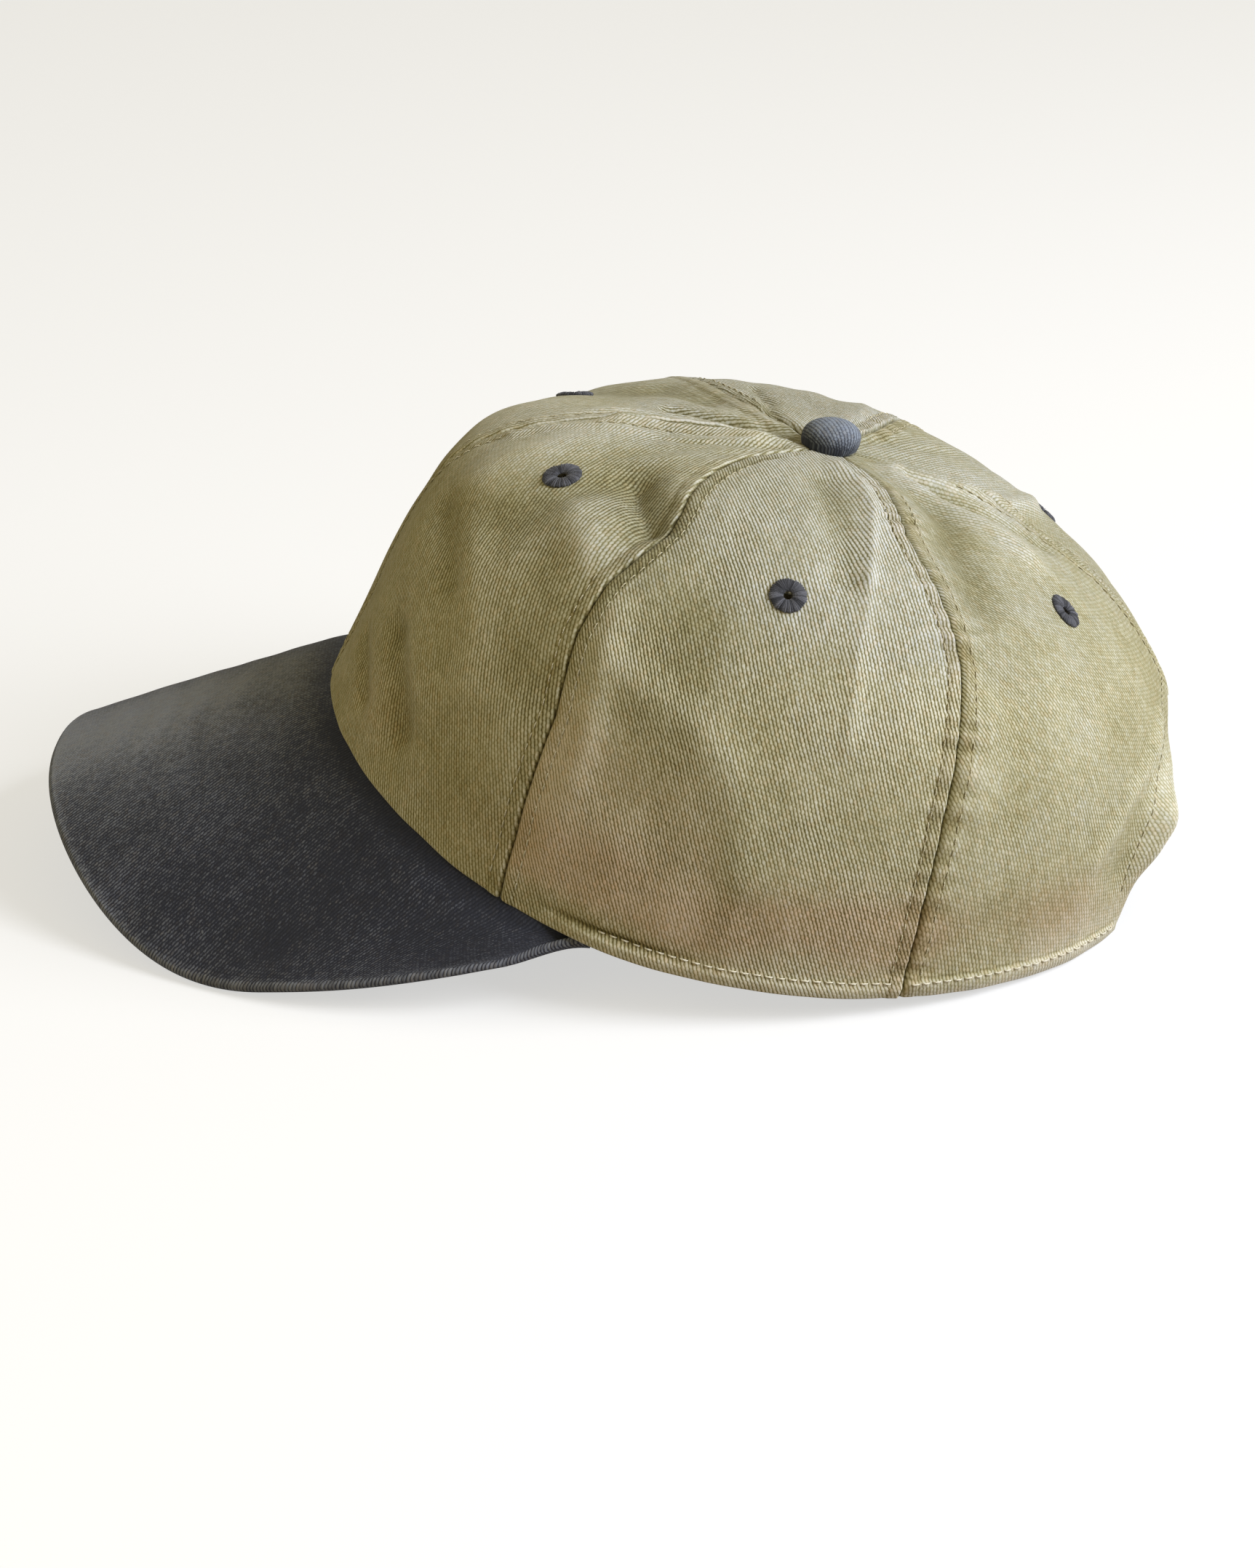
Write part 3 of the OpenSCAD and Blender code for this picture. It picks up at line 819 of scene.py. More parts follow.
@dataclass(frozen=True)
class TwillFinish:
    """Washed cotton twill: slanting ribs, streaks along the yarns, fading and slubs.

    Attributes:
        name: the material's name.
        groove, olive, base, pale: colours from the ribs' grooves up to the most faded cloth.
        stain, wash, cool, warm: dyes of stained and washed cloth, and of cool and warm yarns.
        lean: slant of the ribs in degrees.
        pitch, float_at: width of a rib and length of a yarn's float in millimetres.
        contrast, grain, streaks: strength of the ribs, of single floats and of whole yarns.
        sheen: strength of the nap's gloss.
        clouds, fuzz: strength of the wide fading and of the loose fibres.
        slubs: level above which a thick pale yarn shows.
        even: how evenly the ribs show.
    """

    name: str
    groove: RGB
    olive: RGB
    base: RGB
    pale: RGB
    stain: RGB
    wash: RGB = srgb(222, 228, 255)
    cool: RGB = srgb(232, 238, 255)
    warm: RGB = srgb(255, 232, 205)
    lean: float = 26.0
    pitch: float = 0.78
    float_at: float = 1.15
    contrast: float = 1.0
    grain: float = 0.13
    streaks: float = 0.15
    sheen: float = 0.2
    clouds: float = 1.0
    slubs: float = 0.82
    fuzz: float = 0.26
    even: float = 0.0

    def material(self) -> bpy.types.Material:
        """Builds the twill on the cloth's own coordinates."""
        kit = ShaderKit(self.name)
        weave = kit.weave()
        x, y, _ = kit.split(weave)
        c, s = math.cos(math.radians(self.lean)), math.sin(math.radians(self.lean))
        sway = kit.noise(weave, 6, 2) - 0.5
        fray = kit.noise(weave, 150, 2) - 0.5
        rib_at = (x * c - y * s) * (WEAVE_UNIT / self.pitch) + sway * 1.5 + fray * 0.6
        along = (x * s + y * c) * (WEAVE_UNIT / self.float_at) + sway
        number = kit.math("FLOOR", rib_at)
        rib = kit.math("SINE", (rib_at - number) * math.pi)
        step = along + number * 0.5
        yarn = kit.math("FLOOR", step)
        hump = kit.math("SINE", (step - yarn) * math.pi)
        fleck = kit.random(number, yarn)
        hue = kit.random(yarn, number + 17.0)
        streak = kit.noise(kit.join(number * 0.73, along * 0.11), 1, 2)
        fade = kit.noise(weave, 8, 3)
        blot = kit.noise(weave, 2.2, 2)
        fuzz = kit.noise(weave, 330, 2)
        rub = kit.clip(kit.noise(weave, 5, 3) * 2.4 - 0.55 + self.even)
        k = self.contrast
        # The crisp mark sets the ribs' contrast panel by panel, strongest where the light grazes them:
        # painted light.
        crisp = kit.mark("crisp") * 0.45 + 1.0
        tone = 0.5 + (rib - 0.6) * (0.6 * k) * (0.45 + rub * 0.6) * crisp
        tone += (hump - 0.6) * (0.16 * k) + (fleck - 0.5) * (self.grain * k)
        tone += (streak - 0.5) * (self.streaks * k) + (fuzz - 0.5) * self.fuzz
        tone += (fade - 0.5) * (0.2 * self.clouds) + (blot - 0.5) * (0.22 * self.clouds)
        # The wear mark lightens the tone; the shade mark darkens it, as painted shade in fold valleys, seam
        # grooves, tucks and hollows.
        tone = kit.clip(tone + kit.mark("wear") * 0.3 - kit.mark("shade") * 0.32)
        stops = ((0.0, self.groove), (0.28, self.olive), (0.55, self.base), (0.95, self.pale))
        colour = self._dyed(kit, kit.ramp(tone, stops), hue, fade, blot)
        slub = kit.clip((kit.noise(kit.join(number * 1.1, along * 0.6), 1, 1) - self.slubs) * 12)
        colour = kit.mix(slub * 0.55, colour, self.pale)
        lift = rib * (0.35 + rub * 0.35) + hump * 0.14 + fleck * 0.1 + fuzz * 0.3
        return kit.finish(
            Base_Color=colour,
            Roughness=0.84 + (fuzz - 0.5) * 0.16,
            Normal=kit.bump(lift, 0.00014, 0.7),
            Sheen_Weight=self.sheen,
            Sheen_Roughness=0.45,
            Sheen_Tint=(*self.pale, 1),
            Specular_IOR_Level=0.25,
        )

    def _dyed(
        self,
        kit: ShaderKit,
        colour: bpy.types.NodeSocket,
        hue: Wire,
        fade: Wire,
        blot: Wire,
    ) -> bpy.types.NodeSocket:
        """Tints a colour yarn by yarn, and where the cloth is washed out or stained.

        Args:
            kit: the material's nodes.
            colour: the colour without tints.
            hue: a random value for each float of a yarn.
            fade: noise of the size of a hand's rubbing.
            blot: wider noise.

        Returns:
            The tinted colour.
        """
        stain = kit.mark("stain")
        washed = kit.clip((blot * 0.6 + fade * 0.4 - 0.5) * 3 + kit.mark("wash") - stain)
        dyes = (
            (kit.clip(hue * 3 - 2.0) * 0.3, self.cool),
            (kit.clip(1.0 - hue * 3) * 0.3, self.warm),
            (washed * 0.56, self.wash),
            (kit.clip(stain * (0.5 + blot * 0.9)) * 0.6, self.stain),
        )
        for share, dye in dyes:
            colour = kit.dyed(share, colour, dye)
        return colour


@dataclass(frozen=True)
class ThreadFinish:
    """Spun thread with a twist and small differences between strands."""

    name: str
    colour: RGB
    pale: RGB
    sheen: float = 0.3

    def material(self) -> bpy.types.Material:
        """Builds the thread on Object coordinates, with a tone for each strand."""
        kit = ShaderKit(self.name)
        place = kit.place()
        x, y, z = kit.split(place)
        twist = kit.math("SINE", (x + y * 0.8 + z * 1.3) * (2 * math.pi / 0.00055))
        fluff = kit.noise(place, 2600, 2)
        tone = kit.clip(0.3 + kit.mark("strand") * 0.45 + (fluff - 0.5) * 0.9)
        return kit.finish(
            Base_Color=kit.mix(tone, self.colour, self.pale),
            Roughness=0.72 + (fluff - 0.5) * 0.2,
            Normal=kit.bump(twist * 0.5 + fluff, 0.00008, 0.6),
            Sheen_Weight=self.sheen,
            Sheen_Roughness=0.4,
        )


@dataclass(frozen=True)
class TapeFinish:
    """Plain-woven tape: a fine square weave with uneven fading."""

    name: str
    colour: RGB
    pale: RGB
    pitch: float = 0.5

    def material(self) -> bpy.types.Material:
        """Builds the square weave on the cloth's own coordinates."""
        kit = ShaderKit(self.name)
        weave = kit.weave()
        x, y, _ = kit.split(weave)
        rate = WEAVE_UNIT / self.pitch
        turn = 2 * math.pi * rate
        check = kit.math("SINE", x * turn) * kit.math("SINE", y * turn)
        number = kit.random(kit.math("FLOOR", x * rate), 3.0)
        fade = kit.noise(weave, 14, 3)
        tone = kit.clip(0.4 + check * 0.22 + (number - 0.5) * 0.25 + (fade - 0.5) * 0.7)
        return kit.finish(
            Base_Color=kit.mix(tone, self.colour, self.pale),
            Roughness=0.86 + check * 0.05,
            Normal=kit.bump(check * 0.5 + fade, 0.00012, 0.7),
            Sheen_Weight=0.15,
            Sheen_Roughness=0.5,
        )


@dataclass(frozen=True)
class MetalFinish:
    """Satin metal with fine rubbing and duller patches."""

    name: str
    colour: RGB
    dull: RGB
    rough: float = 0.34

    def material(self) -> bpy.types.Material:
        """Builds the metal on Object coordinates."""
        kit = ShaderKit(self.name)
        place = kit.place()
        patch = kit.noise(place, 420, 3)
        drawn = kit.node("ShaderNodeMapping", None, {"Vector": place, "Scale": (900, 900, 9000)})
        rub = kit.noise(drawn.outputs[0], 1, 2)
        return kit.finish(
            Base_Color=kit.mix(kit.clip(patch * 1.4 - 0.25), self.colour, self.dull),
            Metallic=1.0,
            Roughness=self.rough + (patch - 0.5) * 0.25 + (rub - 0.5) * 0.15,
            Normal=kit.bump(rub, 0.00002, 0.4),
        )


@dataclass(frozen=True)
class PlasticFinish:
    """Rolled plastic sheet with a faint grain."""

    name: str
    colour: RGB

    def material(self) -> bpy.types.Material:
        """Builds the plastic on Object coordinates."""
        kit = ShaderKit(self.name)
        place = kit.place()
        grain = kit.noise(place, 700, 3)
        haze = kit.noise(place, 60, 2)
        dim = tuple(0.82 * c for c in self.colour)
        return kit.finish(
            Base_Color=kit.mix(haze, self.colour, dim),
            Roughness=0.5 + (grain - 0.5) * 0.2,
            Normal=kit.bump(grain, 0.00004, 0.4),
        )


class Wardrobe:
    """Every finish of the cap, made once."""

    def __init__(self) -> None:
        """Makes the materials."""
        self.khaki = TwillFinish(
            "washed_khaki_twill", srgb(80, 73, 42), srgb(124, 116, 73), srgb(174, 169, 132),
            srgb(226, 224, 206), srgb(234, 203, 192),
        ).material()
        self.charcoal = TwillFinish(
            "faded_charcoal_twill", srgb(22, 23, 30), srgb(35, 37, 45), srgb(52, 54, 63),
            srgb(144, 149, 160), srgb(206, 233, 240), lean=-33.0, pitch=0.72, float_at=0.8,
            contrast=0.54, grain=0.24, streaks=0.16, clouds=0.85, slubs=0.78, fuzz=0.42, even=0.25,
        ).material()
        self.band = TwillFinish(
            "sweatband_twill", srgb(92, 82, 54), srgb(128, 118, 84), srgb(156, 147, 114),
            srgb(196, 190, 164), srgb(214, 186, 160), lean=40.0, contrast=0.8,
        ).material()
        self.tape = TapeFinish("woven_seam_tape", srgb(70, 69, 64), srgb(118, 116, 108)).material()
        self.label = TapeFinish("woven_label", srgb(206, 202, 190), srgb(240, 238, 230), 0.3).material()
        threads = (
            ThreadFinish("khaki_thread", srgb(158, 149, 112), srgb(216, 209, 180)),
            ThreadFinish("pale_thread", srgb(196, 188, 156), srgb(240, 236, 220)),
            ThreadFinish("charcoal_thread", srgb(20, 20, 25), srgb(92, 93, 100)),
        )
        self.seam_thread, self.hem_thread, self.dark_thread = (t.material() for t in threads)
        self.brass = MetalFinish("antique_brass", srgb(176, 150, 96), srgb(116, 96, 60)).material()
        self.steel = MetalFinish("satin_steel", srgb(196, 197, 199), srgb(150, 151, 154)).material()
        self.board = PlasticFinish("visor_board_plastic", srgb(217, 214, 204)).material()


@dataclass(frozen=True)
class Dresser:
    """Dresses a finished piece: its material, its body and what it stands for."""

    pose: RestPose
    wardrobe: Wardrobe

    @staticmethod
    def cover(mesh: bpy.types.Mesh, material: bpy.types.Material) -> None:
        """Gives a mesh one finish alone."""
        mesh.materials.clear()
        mesh.materials.append(material)

    def dress(
        self,
        obj: bpy.types.Object,
        material: bpy.types.Material,
        body: str = "cap",
        nodes: Sequence[str] = (),
    ) -> bpy.types.Object:
        """Dresses one piece and reports it.

        Args:
            obj: the finished piece.
            material: its finish.
            body: the body that it rides on.
            nodes: the solids that it stands for.

        Returns:
            The same piece.
        """
        self.cover(obj.data, material)
        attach(obj, body)
        if nodes:
            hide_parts(*nodes)
        LOG.info("%s: %d faces on %s", obj.name, len(obj.data.polygons), body)
        return obj


@dataclass(frozen=True)
class PanelTraits:
    """What differs between the kinds of panel.

    Attributes:
        eyelet_s: share of the way down the panel's middle where its eyelet is.
        squeeze: how far the eyelet is drawn out down the panel and across it.
        stain: strength of the stain above the hem.
        crisp: how clearly the twill's ribs stand out, most on the side panels where the light grazes:
            painted light.
        weave_at: where the cut lies across the cloth, in millimetres.
    """

    eyelet_s: float
    squeeze: tuple[float, float]
    stain: float
    crisp: float
    weave_at: float


TRAITS: dict[PanelKind, PanelTraits] = {
    PanelKind.FRONT: PanelTraits(0.34, (1.12, 0.98), stain=0.3, crisp=0.2, weave_at=0.0),
    PanelKind.SIDE: PanelTraits(0.441, (1.0, 1.0), stain=0.9, crisp=0.8, weave_at=310.0),
    PanelKind.REAR: PanelTraits(0.391, (1.06, 0.86), stain=0.7, crisp=-0.6, weave_at=620.0),
}


@dataclass
class SewnCloth:
    """Relief of the sewing in millimetres, and the marks that drive the finish: wear, stain, washing, rib
    contrast, painted shade and some painted light.
    """

    height: Array
    wear: Array
    stain: Array
    shade: Array
    wash: Array
    crisp: Array

    @classmethod
    def plain(cls, shape: tuple[int, ...]) -> "SewnCloth":
        """Cloth with neither sewing nor wear."""
        return cls(*(np.zeros(shape) for _ in range(6)))

    def marks(self) -> dict[str, Array]:
        """The marks by their names."""
        return {key: values for key, values in vars(self).items() if key != "height"}


@dataclass
class Panel:
    """One panel of the crown: a sheet with turned seam edges, a rolled hem and its folds."""

    kind: PanelKind
    side: Side
    crown: CrownForm
    relief: Relief
    gap: float = 0.03
    roll: float = 0.8
    row_at: float = 3.3
    hem_at: float = 4.0
    stitch: float = 2.7
    pucker: float = 6.8
    hole: float = 1.5
    twin_shift: float = 55.0

    def __post_init__(self) -> None:
        """Sets the panel's traits, the angles of its seams and of its middle line."""
        spans = {
            PanelKind.FRONT: (0.0, self.crown.seam_front),
            PanelKind.SIDE: (self.crown.seam_front, self.crown.seam_rear),
            PanelKind.REAR: (self.crown.seam_rear, 180.0),
        }
        self.traits = TRAITS[self.kind]
        self.start, self.end = spans[self.kind]
        self.middle = (self.start + self.end) / 2

    @property
    def name(self) -> str:
        """The panel's name, as its solid's."""
        return f"{self.kind.value}_panel_{self.side.name.lower()}"

    def lip(self, phi: Array) -> Array:
        """The share where the hem begins to roll."""
        return self.crown.s_above(phi, self.roll)

    def columns(self) -> tuple[Array, Array]:
        """Angles of the columns, without the side's sign, and the shares where they end."""
        a, b = self.start + self.gap, self.end - self.gap
        if self.kind is not PanelKind.REAR:
            width = float(self.crown.across(a, np.array(b), np.array(1.0)))
            near = graded(width) / width
            phi = a + (b - a) * np.concatenate([near, (1 - near)[-2::-1]])
            return phi, self.lip(phi)
        corner, arch_s, arch_steps = self.crown.arch_end, 0.7, 46
        width = float(self.crown.across(a, np.array(corner), np.array(1.0)))
        hem = a + (corner - a) * graded(2 * width) / width
        span = float(self.crown.across(corner, np.array(b), np.array(arch_s)))
        top_e = np.arccos(np.clip(np.array(SEWN_STEPS) / span, 0, 1))[::-1]
        low_e = np.linspace(0, top_e[0], arch_steps)[1:-1]
        e = np.concatenate([low_e, top_e])
        phi = b - (b - corner) * np.cos(e)
        low = 1 - (1 - self.crown.arch_top) * np.sin(e)
        first = float(self.lip(np.array(corner)))
        ends = np.concatenate([self.lip(hem), np.minimum(low, first)])
        return np.concatenate([hem, phi]), ends

    def rows(self) -> Array:
        """Shares of the way down a column, close together at the hem."""
        fine_width, length = 60.0, 132.0
        near = graded(fine_width)
        far = np.arange(near[-1] + CLOTH_STEP, length, CLOTH_STEP)
        d = np.concatenate([near, far])
        d = d[: INNER_STEP * ((len(d) - 1) // INNER_STEP) + 1]
        return (1 - d / d[-1])[::-1]

    def grid(self) -> tuple[Array, Array]:
        """Angles, without the side's sign, and shares of the panel's points."""
        cols, ends = self.columns()
        s = self.crown.s_hole + (ends[:, None] - self.crown.s_hole) * self.rows()[None, :]
        return np.broadcast_to(cols[:, None], s.shape), s

    def cut(self) -> tuple[float, float, float]:
        """Width, length and area of the panel as it was cut, sewn edges not counted."""
        base = self.crown.face(*self.grid())
        width = float(np.linalg.norm(np.diff(base, axis=0), axis=-1).sum(0).max())
        length = float(np.linalg.norm(np.diff(base, axis=1), axis=-1).sum(1).max())
        return width, length, MeshKit.grid_area(base)

    def edge_line(self) -> Array:
        """The panel's lower edge on the outer face."""
        phi, low = self.columns()
        return self.crown.face(phi, low)

    def seams(self, phi: Array, s: Array) -> tuple[Array, Array]:
        """Distances across the cloth from the panel's first and second seams."""
        at = self.crown.across(self.middle, phi, s)
        one = -self.crown.across(self.middle, self.start + self.gap, s)
        two = self.crown.across(self.middle, self.end - self.gap, s)
        return np.maximum(at + one, 0), np.maximum(two - at, 0)

    def sewing(self, phi: Array, s: Array, edge: Array) -> SewnCloth:
        """Relief and wear of the seams, the hem and the rear opening's edge.

        Args:
            phi: angles without the side's sign.
            s: shares.
            edge: distances from the lower edge.

        Returns:
            The sewn cloth at those places.
        """
        cloth = SewnCloth.plain(phi.shape)
        r = self.crown.ring(phi, s)
        hem_up = self.crown.down(phi, s, np.array(1.0))
        for away, seam in zip(self.seams(phi, s), (self.start, self.end)):
            self._sew_seam(cloth, away, seam, s, r)
        self._sew_hem(cloth, phi, edge, hem_up)
        self._fade(cloth, phi, s, hem_up, r)
        return cloth

    def _sew_seam(self, cloth: SewnCloth, d: Array, seam: float, s: Array, r: Array) -> None:
        """Adds a seam: its groove, its row of stitches and the puckers that the thread draws, with painted
        shade in the hollows and painted highlights on the puckers' crests.

        Args:
            cloth: what the seam is added to.
            d: distances from the seam.
            seam: the seam's angle.
            s: shares.
            r: distances from the line through the top.
        """
        along = self.crown.down(np.array(seam), self.crown.s_hole, s)
        near_top = smooth(5, 13, r)
        over = 1.0 if seam == self.end else -0.35
        inside = smooth(0.3, 1.0, d) - smooth(self.row_at - 0.2, self.row_at + 0.9, d)
        row = bell(d - self.row_at, 0.5)
        dashed = row * (0.75 + 0.25 * np.cos(2 * math.pi * along / self.stitch))
        knots = [1.6 * noise.noise((k * 0.37, seam, 5.0 * self.side.value)) for k in range(40)]
        wander = np.interp(along, np.arange(0, 160, 4.0), knots)
        pull = np.sin(2 * math.pi * along / self.pucker + 4.5 * wander)
        reach = bell(d - self.row_at + 1.2, 3.2)
        strong = 1.15 if seam == self.crown.seam_rear else 0.5 - 0.35 * smooth(0.4, 0.58, s)
        strong = strong * smooth(12, 24, r) * np.clip(0.7 + 0.6 * wander, 0.1, 1.2)
        cloth.height -= 0.5 * np.clip(1 - d / 0.7, 0, 1) ** 2
        cloth.height += near_top * (0.16 * over * bell(d - 0.55, 0.42) + 0.3 * inside - 0.34 * dashed)
        cloth.height += strong * 0.34 * pull * reach
        cloth.wear += near_top * 0.28 * max(over, 0.3) * bell(d - 0.5, 0.35)
        cloth.wear += near_top * 0.2 * bell(d - self.row_at - 0.9, 0.6)
        # The puckers' crests are lightened as wear: a painted highlight.
        cloth.wear += strong * 0.35 * np.clip(pull, 0, 1) * reach
        # Painted shade in the seam's groove, along its row, in the puckers' hollows and on the strip inside
        # the row.
        cloth.shade += bell(d, 0.3) + near_top * 0.2 * dashed
        cloth.shade += strong * (0.36 * np.clip(-pull, 0, 1) * reach + 0.18 * inside)
        cloth.stain += 0.25 * strong * inside
        # Painted shade on the side panel's strip beside its front seam.
        if self.kind is PanelKind.SIDE and seam == self.start:
            upper = smooth(14, 24, r) * (1 - smooth(0.5, 0.68, s))
            cloth.shade += (0.45 * inside + 0.5 * row) * upper

    def _sew_hem(self, cloth: SewnCloth, phi: Array, edge: Array, hem_up: Array) -> None:
        """Adds the turned hem with its row of stitches, and the rear opening's edge.

        Args:
            cloth: what the hem is added to.
            phi: angles without the side's sign.
            edge: distances from the lower edge.
            hem_up: distances from the hem's own level.
        """
        level = 1 - smooth(0.6, 3.0, hem_up - edge)
        shown = 0.0 if self.kind is PanelKind.FRONT else 1.0
        strip = shown * level * smooth(64, 76, phi)
        row = bell(edge - self.hem_at, 0.55)
        puff = np.clip(1 - ((edge - 2.3) / 2.7) ** 2, 0, 1)
        tuck = strip * (1 - smooth(78, 90, phi)) * bell(edge - self.hem_at - 0.3, 0.8)
        cloth.height += strip * (0.7 * puff - 0.35 * row) + (1 - level) * 0.2 * puff - tuck
        # Painted shade in the hem's row of stitches and in the tuck beside it.
        cloth.shade += 0.5 * strip * row + 1.1 * tuck
        cloth.wear += strip * 0.45 * (1 - smooth(3.4, 4.6, edge)) + 0.5 * bell(edge, 0.8)

    def _fade(self, cloth: SewnCloth, phi: Array, s: Array, hem_up: Array, r: Array) -> None:
        """Adds the places that are washed pale, faded by wear or stained, and painted shade and painted
        light on the side panel.

        Args:
            cloth: what they are added to.
            phi: angles without the side's sign.
            s: shares.
            hem_up: distances from the hem's own level.
            r: distances from the line through the top.
        """
        patch = 0.55 + 0.75 * cloud(self.crown.face(phi * self.side.value, s), 24, 2.3)
        low = bell(hem_up - 17, 9.0) + 0.45 * bell(hem_up - 9, 7)
        low += 0.7 * bell(phi - 79, 8) * bell(hem_up - 13, 9)
        low += 0.8 * bell(hem_up - 16, 5) * smooth(86, 92, phi) * (1 - smooth(118, 140, phi))
        crest = smooth(8, 13, r) * (1 - smooth(22, 46, r)) * smooth(118, 150, phi)
        cloth.stain += np.clip(patch, 0, 1.2) * low * self.traits.stain
        cloth.wear += 0.4 * bell(hem_up - 6, 8) * smooth(120, 138, phi) + 0.2 * crest
        cloth.wear += 0.14 * (1 - smooth(0.3, 0.55, s)) * (1 - 0.8 * smooth(112, 122, phi))
        cloth.wash += 0.8 * (1 - smooth(0.34, 0.62, s)) - 0.15 + 0.3 * crest
        cloth.crisp += self.traits.crisp
        if self.kind is PanelKind.SIDE:
            # A brownish patch with a crisp edge on the side panel's lower part: painted warm shade as
            # stain, its tone lifted by the wear mark as painted light.
            rim = np.interp(phi, (63, 73, 80, 86, 90), (0.68, 0.71, 0.73, 0.77, 0.83))
            painted_shade_patch = smooth(-0.03, 0.1, s - rim) * (1 - smooth(86, 89.5, phi)) * smooth(5, 11, hem_up)
            upper = 1 - smooth(0.5, 0.78, s)
            # Painted shade across the side panel's middle.
            cloth.shade += 0.4 * bell(phi - 76, 10) * bell(s - 0.58, 0.15)
            cloth.stain += 0.5 * painted_shade_patch
            cloth.wear += 0.62 * painted_shade_patch + 0.1 * upper
            cloth.wash += 0.45 * upper

    def edge_distance(self, phi: Array, s: Array) -> Array:
        """Distance along the cloth from the lower edge."""
        if self.kind is PanelKind.REAR:
            return path_distance(self.crown.face(phi, s), self.edge_line())[0]
        return self.crown.down(phi, s, np.array(1.0))

    def surface(self, phi: Array, s: Array) -> tuple[Array, Array]:
        """Places on the finished outer face and its outward directions, for stitches."""
        side = self.side.value
        cloth = self.sewing(phi, s, self.edge_distance(phi, s))
        lift = cloth.height + self.relief.height(phi * side, s)
        n = self.crown.normal(phi * side, s)
        return self.crown.face(phi * side, s) + lift[..., None] * n, n

    def build(self, pose: RestPose) -> bpy.types.Object:
        """Makes the panel's mesh with its eyelet hole.

        Args:
            pose: takes the panel to the row frame.

        Returns:
            The panel.
        """
        side = self.side.value
        phi, s = self.grid()
        edge = self.edge_distance(phi, s)
        cloth = self.sewing(phi, s, edge)
        low = self.relief.height(phi * side, s)
        n = self.crown.normal(phi * side, s)
        base = self.crown.face(phi * side, s)
        outer = base + (cloth.height + low)[..., None] * n
        # The folds' valleys get painted shade and their crests wear.
        cloth.wear = np.clip(cloth.wear + 0.35 * np.clip(low, 0, 1.5), 0, 1.2)
        cloth.shade = np.clip(cloth.shade + 0.3 * np.clip(-low, 0, 2.5), 0, 1.3)
        rim, rim_n = outer[:, -1], n[:, -1]
        outwards = unit(np.cross(unit(np.gradient(rim, axis=0)), rim_n)) * side
        outwards *= np.sign(np.einsum("ij,ij->i", outwards, rim - outer[:, -4]).sum())
        turn = np.radians(np.linspace(0, 180, 9)[1:-1])
        centre = rim - self.roll * rim_n
        roll = MeshKit.arc(centre, self.roll, turn, outwards, rim_n)
        thick = self.crown.cloth + (2 * self.roll - self.crown.cloth) * (1 - smooth(4.5, 8, edge))
        sunk = np.maximum(low, low + 0.3 * cloth.height) - thick
        inner = (base + sunk[..., None] * n)[:, ::-INNER_STEP]
        inner[:, 0] = centre - self.roll * rim_n
        rings = np.concatenate([outer, roll, inner], 1)
        nr, nh = s.shape[1], len(turn)

        def spread(values: Array) -> Array:
            """Values of the outer rows, carried round the roll to the inner rows."""
            rolled = np.repeat(values[:, -1:], nh, 1)
            return np.concatenate([values, rolled, values[:, ::-INNER_STEP]], 1)

        u = (self.crown.across(self.middle, phi, s) + self.twin_shift) * side + self.traits.weave_at
        level = np.linspace(0, 1, 200)
        gone = self.crown.down(np.array(self.middle), np.zeros(level.shape), level)
        weave = np.stack([spread(u), spread(np.interp(s, level, gone))], -1)
        weave[:, nr : nr + nh, 1] += np.linspace(0.3, 2.2, nh)
        marks = {key: spread(values) for key, values in cloth.marks().items()}
        split = nr + nh // 2
        obj = MeshKit.rolled(f"{self.name}_cloth", rings, split, pose, weave / WEAVE_UNIT, marks)
        self._pierce(obj, pose)
        return obj

    def _pierce(self, obj: bpy.types.Object, pose: RestPose) -> None:
        """Opens the eyelet's hole through both faces of the panel and joins their edges."""
        phi, s = np.array(self.middle * self.side.value), np.array(self.traits.eyelet_s)
        at, axis = pose.place(self.crown.face(phi, s)), pose.turn(self.crown.normal(phi, s))
        reach = 8 * MM
        MeshKit.active(obj)
        MeshKit.unpick()
        for poly in obj.data.polygons:
            away = np.array(poly.center) - at
            deep = away @ axis
            wide = np.linalg.norm(away - axis * deep)
            poly.select = bool(wide < self.hole * MM and abs(deep) < reach)
        with MeshKit.editing():
            bpy.ops.mesh.select_mode(type="FACE")
            bpy.ops.mesh.bridge_edge_loops()


